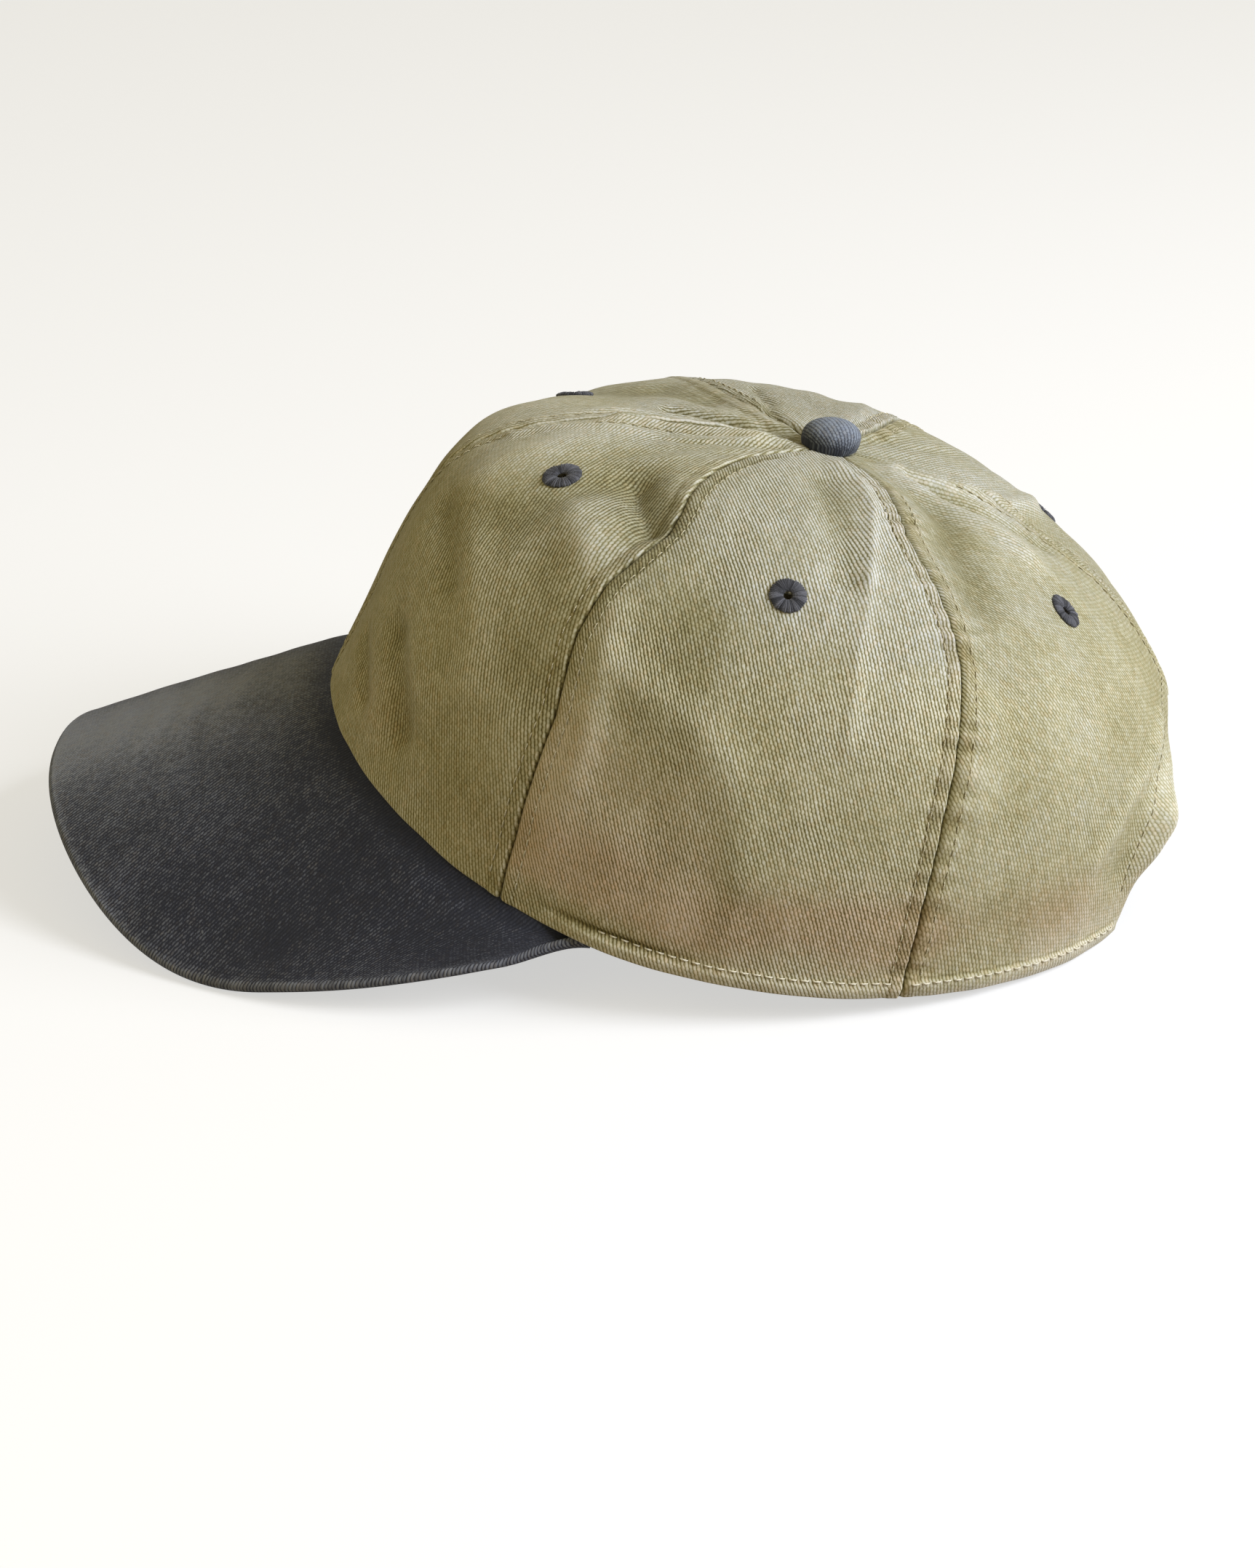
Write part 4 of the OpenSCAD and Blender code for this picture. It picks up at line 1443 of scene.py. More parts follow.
@dataclass
class ThreadWork:
    """Rows of machine stitches along lines on the cloth."""

    pitch: float = 2.6
    length: float = 2.0
    width: float = 0.3
    lift: float = 0.22

    def template(self) -> tuple[Array, list[tuple[int, ...]]]:
        """One stitch, modelled from a small ball, lying along x with its ends in the cloth."""
        MeshKit.deselect()
        bpy.ops.mesh.primitive_uv_sphere_add(segments=6, ring_count=6, radius=0.5)
        ball = bpy.context.object
        with MeshKit.editing():
            bpy.ops.mesh.select_all(action="SELECT")
            bpy.ops.transform.rotate(value=math.pi / 2, orient_axis="Y", center_override=(0, 0, 0))
            bpy.ops.transform.resize(value=(self.length, self.width, self.width * 0.8))
        points = MeshKit.points(ball)
        t = 2 * points[:, 0] / self.length
        points[:, 1:] *= np.sqrt(1 + t * t)[:, None]
        points[:, 2] += self.lift - 0.45 * t**4
        faces = [tuple(p.vertices) for p in ball.data.polygons]
        bpy.data.objects.remove(ball, do_unlink=True)
        return points, faces

    def rows(
        self,
        name: str,
        lines: Sequence[tuple[Array, Array]],
        pose: RestPose,
    ) -> bpy.types.Object:
        """Sews stitches along several lines into one mesh.

        Args:
            name: the piece's name.
            lines: places and outward directions along each line, in millimetres.
            pose: takes the stitches to the row frame.

        Returns:
            The stitches as one object.
        """
        shape, shape_faces = self.template()
        points, faces, strand = [], [], []
        count = 0
        for places, normals in lines:
            steps = np.linalg.norm(np.diff(places, axis=0), axis=1)
            gone = np.concatenate([[0], np.cumsum(steps)])

            def along(values: Array, at: float, gone: Array = gone) -> Array:
                """The line's values at a length along it."""
                return np.array([np.interp(at, gone, values[:, i]) for i in range(3)])

            for k, at in enumerate(np.arange(self.pitch / 2, gone[-1] - self.pitch / 2, self.pitch)):
                head, tail = (along(places, at + h * self.length / 2) for h in (-1, 1))
                x = unit(tail - head)
                y = unit(np.cross(along(normals, at), x))
                z = np.cross(x, y)
                sway = 0.12 * noise.noise((k * 0.61, places[0, 0], places[0, 1]))
                tone = 0.5 + 0.5 * noise.noise((k * 1.7, 3.3, places[0, 1]))
                points.append((head + tail) / 2 + sway * y + shape @ np.stack([x, y, z]))
                faces += [tuple(i + count for i in f) for f in shape_faces]
                strand.append(np.full(len(shape), tone))
                count += len(shape)
        marks = {"strand": np.concatenate(strand)}
        return MeshKit.solid(name, pose.place(np.concatenate(points)), faces, None, marks)


@dataclass
class Crown:
    """The six panels with their sewing, eyelets, tapes, bindings and sweatband."""

    form: CrownForm = CrownForm()
    eyelet_d: float = 8.0
    eyelet_hole: float = 2.2
    tape_in: float = 1.3
    tape_t: float = 0.6
    tape_w: float = 14.0
    band_h: float = 32.0
    band_t: float = 1.2
    band_cut: float = 490.0
    binding_cut: tuple[float, float] = (10.0, 68.0)
    spokes: int = 44

    def __post_init__(self) -> None:
        """Lays out the folds and the panels."""
        folds = LEFT_FOLDS + MIDDLE_FOLDS + tuple(f.mirrored() for f in LEFT_FOLDS if f.twin)
        self.relief = Relief(self.form, folds)
        self.panels = [Panel(kind, side, self.form, self.relief) for side in Side for kind in PanelKind]

    @property
    def tape_depths(self) -> tuple[float, float]:
        """Depths of the tapes' faces below the crown's."""
        return self.tape_in, self.tape_in + self.tape_t

    def build(self, dresser: Dresser) -> None:
        """Builds and dresses every piece of the crown."""
        for panel in self.panels:
            obj = panel.build(dresser.pose)
            dresser.dress(obj, dresser.wardrobe.khaki, nodes=[panel.name])
            width, length, area = panel.cut()
        self._stitches(dresser)
        self._eyelets(dresser)
        self._tapes(dresser)
        self._bindings(dresser)
        self._sweatband(dresser)
        self._label(dresser)

    def _stitches(self, dresser: Dresser) -> None:
        """Sews the rows beside the seams, along the hem and round the rear opening."""
        f = self.form
        seam_lines, edge_lines = [], []
        for panel in self.panels:
            for seam, towards in ((panel.start, 1), (panel.end, -1)):
                first = 0.5 if panel.kind is PanelKind.FRONT and seam else 0.14
                last = f.arch_top - 0.04 if seam == 180 else 0.985
                s = np.linspace(first, last, 240)
                rate = np.abs(f.across(np.array(seam - 0.5), np.array(seam + 0.5), s))
                phi = seam + towards * (panel.gap + panel.row_at / rate)
                seam_lines.append(panel.surface(phi, s))
            if panel.kind is not PanelKind.FRONT:
                first = 74.0 if panel.kind is PanelKind.SIDE else panel.start + 0.6
                last = panel.end - 0.6 if panel.kind is PanelKind.SIDE else f.arch_end - 2.6
                phi = np.linspace(first, last, 200)
                edge_lines.append(panel.surface(phi, f.s_above(phi, panel.hem_at + 0.1)))
            if panel.kind is PanelKind.REAR:
                e = np.radians(np.linspace(8, 86, 160))
                phi = 180 - panel.gap - (180 - f.arch_end + 3.2) * np.cos(e)
                s = 1 - (1 - f.arch_top + 0.036) * np.sin(e) - 0.02655 * np.cos(e)
                seam_lines.append(panel.surface(phi, s))
        seams = ThreadWork().rows("seam_stitches", seam_lines, dresser.pose)
        dresser.dress(seams, dresser.wardrobe.seam_thread)
        hem = ThreadWork(width=0.44, lift=0.4).rows("hem_stitches", edge_lines, dresser.pose)
        dresser.dress(hem, dresser.wardrobe.hem_thread)

    def _eyelet_ring(self) -> bpy.types.Object:
        """One sewn eyelet about the z axis, in millimetres: a low ring of radial stitches."""
        MeshKit.deselect()
        hole, far = self.eyelet_hole / 2 - 0.15, self.eyelet_d / 2
        bpy.ops.mesh.primitive_torus_add(
            major_segments=self.spokes * 3,
            minor_segments=14,
            major_radius=(hole + far) / 2,
            minor_radius=(far - hole) / 2,
        )
        ring = bpy.context.object
        with MeshKit.editing():
            bpy.ops.mesh.select_all(action="SELECT")
            bpy.ops.transform.resize(value=(1, 1, 0.46))
            bpy.ops.mesh.select_all(action="DESELECT")
        for v in ring.data.vertices:
            turn = math.atan2(v.co.y, v.co.x) / (2 * math.pi) * self.spokes * 3
            v.select = round(turn) % 3 == 0 and v.co.z > -0.4
        with MeshKit.editing():
            bpy.ops.mesh.select_mode(type="VERT")
            bpy.ops.transform.resize(value=(0.945, 0.945, 0.56), center_override=(0, 0, 0))
        return ring

    def _eyelets(self, dresser: Dresser) -> None:
        """Makes the six eyelets from one ring, each with its own uneven stitches."""
        ring = self._eyelet_ring()
        shape = MeshKit.points(ring)
        faces = [tuple(p.vertices) for p in ring.data.polygons]
        bpy.data.objects.remove(ring, do_unlink=True)
        turn = np.arctan2(shape[:, 1], shape[:, 0])
        spoke = np.round((turn / (2 * math.pi) * self.spokes * 3 - 1) / 3)
        far = np.hypot(shape[:, 0], shape[:, 1])
        for number, panel in enumerate(self.panels):
            rough = np.array([noise.noise((k * 0.77, number * 4.1, 1.5)) for k in spoke])
            p = shape.copy()
            grow = 1 + 0.055 * rough * smooth(2.2, 4.0, far)
            p[:, :2] *= grow[:, None] * np.array(panel.traits.squeeze)
            p[:, 2] += 0.1 + 0.14 * rough * smooth(1.2, 2, far)
            # The strands' tones vary at random, with a painted highlight along the ring's crest.
            strand = 0.1 + 2.4 * rough + 0.35 * bell(far - 2.6, 0.7)
            phi, s = np.array(panel.middle * panel.side.value), np.array(panel.traits.eyelet_s)
            down = unit(self._inside(phi, s + 0.025, 0.0) - self._inside(phi, s - 0.025, 0.0))
            n = unit(np.cross(down, self._inside(phi + 3, s, 0.0) - self._inside(phi - 3, s, 0.0)))
            spot = self._inside(phi, s, 0.0) + p @ np.stack([down, np.cross(n, down), n])
            name = f"eyelet_{panel.kind.value}_{panel.side.name.lower()}"
            at = dresser.pose.place(spot)
            obj = MeshKit.solid(f"{name}_thread", at, faces, None, {"strand": strand})
            dresser.dress(obj, dresser.wardrobe.dark_thread, nodes=[name])

    def _inside(self, phi: Array, s: Array, depth: Array) -> Array:
        """Place inside the crown at a depth below its folded face."""
        lift = self.relief.height(phi, s) - np.asarray(depth, float)
        return self.form.face(phi, s) + lift[..., None] * self.form.normal(phi, s)

    def _tapes(self, dresser: Dresser) -> None:
        """Makes the tapes that cover the seams inside."""
        f = self.form
        high_end, low_end = 0.05, 0.97
        places = {
            "tape_front": (0.0, low_end),
            "tape_front_left": (f.seam_front, low_end),
            "tape_front_right": (-f.seam_front, low_end),
            "tape_rear_left": (f.seam_rear, low_end),
            "tape_rear_right": (-f.seam_rear, low_end),
            "tape_rear": (180.0, f.arch_top - 0.06),
        }
        for name, (seam, low) in places.items():

            def at(k: Array, s: Array, depth: float, seam: float = seam) -> Array:
                """Place on the tape at k of its half width, slightly bowed between its sewn edges."""
                half = np.minimum(28, np.degrees(self.tape_w / 2 / f.ring(np.full(s.shape, seam), s)))
                bow = 0.18 * np.cos(k * math.pi / 2) - 0.12 * bell(np.abs(k) - 0.86, 0.05)
                return self._inside(seam + k * half, s, depth + bow)

            k, s = edged(-1, 1, 0.03, 0.08, 24), np.linspace(high_end, low, 90)
            obj = MeshKit.sheet(f"{name}_cloth", at, k, s, self.tape_depths, dresser.pose)
            dresser.dress(obj, dresser.wardrobe.tape, nodes=[name])
            length = float(f.down(np.array(seam), np.array(high_end), np.array(low)))

    def _bindings(self, dresser: Dresser) -> None:
        """Makes the strips that face the rear opening's edge inside."""
        f = self.form
        for side in Side:
            name = f"arch_binding_{side.name.lower()}"

            def at(e: Array, k: Array, depth: float, side: Side = side) -> Array:
                """Place on the strip at e along the edge and k across it."""
                turn = np.radians(e)
                phi = side.value * (180 - 0.12 - (180 - f.arch_end + 0.2 + 5 * k) * np.cos(turn))
                s = 1 - (1 - f.arch_top + 0.002 + 0.05 * k) * np.sin(turn) - 0.012 * np.cos(turn)
                return self._inside(phi, s, depth + 0.12 * np.sin(k * math.pi))

            e, k = np.linspace(0, 90, 64), np.linspace(0, 1, 12)
            obj = MeshKit.sheet(f"{name}_cloth", at, e, k, self.tape_depths, dresser.pose)
            dresser.dress(obj, dresser.wardrobe.tape, nodes=[name])
            e, k = np.meshgrid(e, k, indexing="ij")
            area = MeshKit.grid_area(at(e, k, self.tape_in))
            panel = f"rear_panel_{side.name.lower()}"

    def band_in(self, phi: Array) -> Array:
        """Depth of the sweatband, which stands off further at the back."""
        return 2.6 + 3.3 * smooth(88, 116, np.abs(phi))

    def _sweatband(self, dresser: Dresser) -> None:
        """Makes the band inside the hem, with a soft upper edge and a row of stitches."""
        f = self.form
        end = f.arch_end - 1.5
        foot, low_row, high_row = 1.6, 5.0, 30.0

        def at(phi: Array, h: Array, depth: float) -> Array:
            """Place on the band at a height above the hem."""
            s = f.s_above(phi, h)
            sewn = 0.3 * bell(h - high_row, 0.8) + 0.2 * bell(h - low_row, 0.7)
            wave = 0.25 * cloud(f.face(phi, s), 17, 9.1) - sewn
            return self._inside(phi, s, self.band_in(phi) + depth + wave)

        phi = np.concatenate([[-end], np.linspace(-end + 0.3, end - 0.3, 330), [end]])
        h = edged(foot, foot + self.band_h, 0.4, 1.0, 40)
        obj = MeshKit.sheet("sweatband_cloth_band", at, phi, h, (0.0, self.band_t), dresser.pose)
        MeshKit.unmarked(obj)
        dresser.dress(obj, dresser.wardrobe.band, nodes=["sweatband"])
        lines = []
        turn = np.linspace(-end + 2, end - 2, 700)
        for height in (low_row, high_row):
            places = at(turn, np.full(turn.shape, height), self.band_t)
            lines.append((places, -f.normal(turn, f.s_above(turn, height))))
        rows = ThreadWork().rows("sweatband_stitches", lines, dresser.pose)
        dresser.dress(rows, dresser.wardrobe.seam_thread)

    def _label(self, dresser: Dresser) -> None:
        """Makes the plain woven label on the sweatband."""
        f = self.form
        middle, height = 48.0, 20.0
        half_w, half_h = 12.0, 7.5
        phi0, s0 = np.array(middle), f.s_above(np.array(middle), height)
        n = f.normal(phi0, s0)
        across = unit(f.face(phi0 + 0.5, s0) - f.face(phi0 - 0.5, s0))
        up = np.cross(across, n)
        centre = self._inside(phi0, s0, self.band_in(phi0) + self.band_t + 1.2)

        def at(x: Array, y: Array, depth: float) -> Array:
            """Place on the label, which curls a little at its lower edge."""
            curl = 0.5 * smooth(-4, -half_h, y) + 0.0035 * x * x
            sunk = depth + curl - 0.5
            return centre + x[..., None] * across + y[..., None] * up - sunk[..., None] * n

        x, y = edged(-half_w, half_w, 0.2, 0.6, 24), edged(-half_h, half_h, 0.2, 0.5, 16)
        obj = MeshKit.sheet("care_label_cloth", at, x, y, (-0.2, 0.2), dresser.pose)
        dresser.dress(obj, dresser.wardrobe.label, nodes=["care_label"])


@dataclass
class Visor:
    """The curved visor: a board between two covers that meet under its rim."""

    crown: CrownForm = CrownForm()
    end: float = 75.0
    reach: float = 59.0
    tip_z: float = -17.0
    droop: float = 54.0
    sag: float = 5.2
    flare: float = 1.07
    square: float = 2.2
    sag_from: tuple[float, float] = (59.4, 79.2)
    sag_to: tuple[float, float] = (81.9, 89.5)
    bow: float = 3.0
    draw: float = 3.4
    span: float = 0.985
    cut: tuple[float, float] = (196.0, 112.0)
    half: float = 1.55
    cloth: float = 0.7

    def edge(self, q: Array) -> Array:
        """The visor's outer edge, q from -90 at one end to 90 at the other."""
        c = self.crown.hem(np.array(self.end))
        q = np.asarray(q, float)
        t, e = np.abs(np.sin(np.radians(q))), 2 / self.square
        deep = self.crown.front + self.reach + c[1]
        x = c[0] * self.flare * np.sign(q) * t ** e * (1 + (1 / self.flare - 1) * t ** 20)
        y = c[1] - deep * np.abs(np.cos(np.radians(q))) ** e
        z = self.tip_z + (c[2] - self.tip_z) * t * t - self.droop * t * t * (1 - t ** 6)
        z -= self.sag * smooth(*self.sag_from, np.abs(q)) * (1 - smooth(*self.sag_to, np.abs(q)))
        return np.stack([x, y, z], -1)

    def face(self, u: Array, t: Array) -> Array:
        """The visor's middle face, u across and t from the hem to the edge."""
        u, t = np.broadcast_arrays(np.asarray(u, float), np.asarray(t, float))
        h, e = self.crown.hem(self.end * u), self.edge(90 * u)
        p = h + (e - h) * t[..., None]
        p[..., 2] += self.bow * t * (1 - t) * (1 - u * u)
        return p

    def normal(self, u: Array, t: Array) -> Array:
        """Upward direction of the middle face."""
        u, t = np.asarray(u, float), np.asarray(t, float)
        aside, ahead = 0.004, 0.01
        along = self.face(u + aside, t) - self.face(u - aside, t)
        out = self.face(u, t + ahead) - self.face(u, t - ahead)
        return unit(np.cross(out, along))

    def length(self, u: Array) -> Array:
        """Length of the visor from the hem to its edge at u."""
        return np.linalg.norm(self.face(u, 1.0) - self.face(u, 0.0), axis=-1)

    @staticmethod
    def risen(reach: Array) -> Array:
        """Share of the full thickness above the middle face, at a distance from the hem."""
        return smooth(-1.0, 9.0, reach)

    def tuck(self, u: Array) -> Array:
        """How far the visor's ends are drawn in behind the crown's hem."""
        away = self.crown.normal(self.end * u, np.ones(np.shape(u)))
        return self.draw * smooth(0.87, 0.97, np.abs(u))[..., None] * away

    def build(self, dresser: Dresser) -> None:
        """Builds and dresses both covers and the board."""
        top = self._cover("visor_top_cloth", True, dresser.pose)
        under = self._cover("visor_under_cloth", False, dresser.pose)
        across, ahead = np.linspace(-self.span, self.span, 90), np.linspace(0, 1, 40)
        u, t = np.meshgrid(across, ahead, indexing="ij")
        area = MeshKit.grid_area(self.face(u, t))
        for obj, node in ((top, "visor_top_cover"), (under, "visor_under_cover")):
            dresser.dress(obj, dresser.wardrobe.charcoal, nodes=[node])
        board = self._board(dresser.pose)
        dresser.dress(board, dresser.wardrobe.board, nodes=["visor_board"])

    def _board(self, pose: RestPose) -> bpy.types.Object:
        """Makes the stiff board, which thins towards the crown where the covers are sewn."""
        def at(u: Array, t: Array, side: float) -> Array:
            """Place on the board's upper face, side 1, its lower one, side -1, or between them."""
            low = self.cloth + 0.06 - self.half
            top = self.half * self.risen(t * self.length(u)) - 0.1 - self.cloth - 0.06
            top = np.maximum(top, low + 0.12)
            level = low + (top - low) * (side + 1) / 2
            return self.face(u, t) - self.tuck(u) + level[..., None] * self.normal(u, t)

        u = 0.93 * np.sin(np.linspace(-1, 1, 121) * math.pi / 2)
        t = np.concatenate([[0.05, 0.055], np.linspace(0.07, 0.93, 40), [0.945, 0.952]])
        return MeshKit.sheet("visor_board_plate", at, u, t, (1.0, -1.0), pose)

    def _cover(self, name: str, upper: bool, pose: RestPose) -> bpy.types.Object:
        """Makes one cover: the upper one wraps round the rim and the lower one is tucked in.

        Args:
            name: the piece's name.
            upper: whether it is the upper cover.
            pose: takes the cover to the row frame.

        Returns:
            The cover.
        """
        sign, last, steps = (1.0, 118.0, 10) if upper else (-1.0, 52.0, 6)
        i = np.linspace(-1, 1, 211)
        u = self.span * (0.5 * np.sin(i * math.pi / 2) + 0.5 * i)
        length = np.maximum(self.length(u), 1e-6)
        stop = 1 - np.minimum(self.half / length, 0.6)
        start = -np.minimum(2.0 / length, 0.4)
        k = np.linspace(0, 1, 70) ** 0.9
        t = start[:, None] + (stop - start)[:, None] * k[None, :]
        wide = np.broadcast_to(u[:, None], t.shape)
        base, n = self.face(wide, t) - self.tuck(wide), self.normal(wide, t)
        reach, from_rim = t * length[:, None], (1 - t) * length[:, None]
        dive = (self.half + 0.1) * (1 - self.risen(reach)) if upper else np.zeros(t.shape)
        wave = self._wave(base, reach) * (1.0 if upper else 0.5)
        outer = base + (sign * (self.half - dive + wave))[..., None] * n
        inner = base + (sign * (self.half - self.cloth - dive + wave))[..., None] * n
        rim, rim_n = base[:, -1], n[:, -1]
        edge = unit(np.gradient(self.face(u, 1.0) - self.tuck(u), axis=0))
        out = unit(np.cross(edge, rim_n))
        out *= np.sign(np.einsum("ij,ij->i", out, self.face(u, 1.0) - self.face(u, 0.5)).sum())
        turn = np.radians(np.linspace(0, last, steps)[1:])
        big, small = (
            MeshKit.arc(rim, r, turn, out, sign * rim_n) for r in (self.half, self.half - self.cloth)
        )
        rings = np.concatenate([outer, big, small[:, ::-1], inner[:, ::-1]], 1)

        def both(values: Array) -> Array:
            """Values of the outer face, carried back along the inner one."""
            return np.concatenate([values, values[:, ::-1]], 1)

        bare = np.zeros((len(u), len(turn)))
        hull = np.concatenate([from_rim - self.half, bare - self.half * turn], 1)
        # Along the visor's middle the cloth is paler: wear and a painted highlight where the light grazes
        # it. The ripples' crests are paler still and their troughs darker: painted highlight and shade.
        wear_and_painted_highlight = 1.45 * bell(base[..., 0], 25) * bell(reach - 42, 46)
        wear_and_painted_highlight += 0.12 * np.clip(wave * 6, -1, 1)
        wear = 0.55 * bell(hull + 0.8, 1.5) + 0.2 * bell(hull, 8) + np.concatenate([wear_and_painted_highlight, bare], 1)
        # Painted shade next to the crown's hem and towards the visor's ends.
        low = 0.5 * (1 - smooth(0, 6, reach)) + 0.22 * smooth(40, 66, np.abs(base[..., 0]))
        marks = {
            "wear": np.clip(both(wear), 0, 1.5),
            "shade": both(np.concatenate([low, bare], 1)),
            "stain": np.zeros(rings.shape[:2]),
        }
        weave = both(self._flat(np.concatenate([outer, big], 1))) / WEAVE_UNIT
        return MeshKit.rolled(name, rings, len(k) + len(turn) - 1, pose, weave, marks)

    @staticmethod
    def _wave(base: Array, reach: Array) -> Array:
        """Unevenness of the cloth, with cross ripples along the visor's middle."""
        ridge = bell(base[..., 0], 26) * bell(reach - 34, 26)
        ripple = np.sin(base[..., 1] * 2 * math.pi / 9.5 + 2 * cloud(base, 20, 4.4))
        return 0.16 * cloud(base, 23, 6.2) + 0.05 * cloud(base, 7, 1.1) + 0.16 * ridge * ripple

    @staticmethod
    def _flat(face: Array) -> Array:
        """The cloth's coordinates in millimetres, with the visor's bend laid flat from its middle."""
        steps = np.hypot(np.diff(face[..., 0], axis=0), np.diff(face[..., 2], axis=0))
        bend = np.concatenate([np.zeros((1, face.shape[1])), np.cumsum(steps, 0)])
        return np.stack([bend - bend[len(face) // 2], face[..., 1]], -1)


@dataclass
class TopButton:
    """The covered button on top with its metal parts."""

    crown: CrownForm = CrownForm()
    diameter: float = 13.2
    height: float = 6.2
    waist: float = 1.75
    foot: float = 2.9
    flat: float = 0.22
    cloth: float = 0.6
    cut: float = 19.0
    spin: float = 95.0

    def build(self, dresser: Dresser) -> None:
        """Builds and dresses the cover and finishes the metal parts."""
        shell = self._shell()
        p = MeshKit.points(shell)
        faces = [tuple(f.vertices) for f in shell.data.polygons]
        bpy.data.objects.remove(shell, do_unlink=True)
        r = np.hypot(p[:, 0], p[:, 1]) / (self.diameter / 2)
        up = np.clip((p[:, 2] - self.waist) / (self.height - self.waist), 0, 1)
        over = np.arctan2(r, np.maximum(up, 1e-3)) / (math.pi / 2)
        far = np.where(p[:, 2] > self.waist, over, 1 + 0.6 * np.clip(1 - r, 0, 1))
        spun = np.arctan2(p[:, 1], p[:, 0]) + math.radians(self.spin)
        weave = np.stack([np.cos(spun), np.sin(spun)], -1) * (far * self.diameter * 0.62)[:, None]
        # The cover is paler towards its top, and its foot gets painted shade.
        marks = {"wear": 0.6 + 0.6 * up, "shade": 0.5 * (1 - up) ** 3, "stain": np.full(len(p), 0.45)}
        at = dresser.pose.place(p + np.array([0, self.crown.top_back, self.crown.height]))
        obj = MeshKit.solid("button_cloth", at, faces, weave / WEAVE_UNIT, marks)
        dresser.dress(obj, dresser.wardrobe.charcoal, nodes=["button_cover"])
        for node in ("button_shell", "button_rivet", "button_washer"):
            dresser.cover(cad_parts[node].data, dresser.wardrobe.steel)

    def _shell(self) -> bpy.types.Object:
        """The cover about its own foot in millimetres: a shaped ball, open below, of thick cloth."""
        MeshKit.deselect()
        bpy.ops.mesh.primitive_uv_sphere_add(segments=80, ring_count=48, radius=self.diameter / 2)
        ball = bpy.context.object
        MeshKit.unpick()
        for v in ball.data.vertices:
            v.select = v.co.z < 0
        with MeshKit.editing():
            bpy.ops.transform.resize(value=(1, 1, self.flat), center_override=(0, 0, 0))
        MeshKit.reshaped(ball, self._shaped(MeshKit.points(ball)))
        MeshKit.unpick()
        for poly in ball.data.polygons:
            x, y, z = poly.center
            poly.select = z < -0.9 and math.hypot(x, y) < self.diameter * 0.36
        with MeshKit.editing():
            bpy.ops.mesh.select_mode(type="FACE")
            bpy.ops.mesh.delete(type="FACE")
        thick = ball.modifiers.new("cloth", "SOLIDIFY")
        thick.thickness = self.cloth
        thick.offset = -1
        bpy.ops.object.modifier_apply(modifier=thick.name)
        return ball

    def _shaped(self, p: Array) -> Array:
        """Draws a ball with a flattened lower half into a dome on a tucked foot, a little askew."""
        radius = self.diameter / 2
        up = np.clip(p[:, 2] / radius, 0, 1)
        dip = np.clip(-p[:, 2] / (radius * self.flat), 0, 0.995)
        wide = np.where(dip > 0, (1 - dip**2) ** -0.375, 1.0)
        dome = (self.height - self.waist) * up**0.86
        p[:, 2] = np.where(p[:, 2] > 0, dome, -self.foot * dip) + self.waist
        p[:, :2] *= (wide * (1 + 0.02 * np.sin(up * math.pi)))[:, None]
        p += (0.1 * cloud(p, 5, 2.2))[:, None] * unit(p)
        p[:, :2] *= 0.985
        p[:, 1] -= 0.5
        p[:, 2] += 0.09 * p[:, 1] + 0.35
        return p


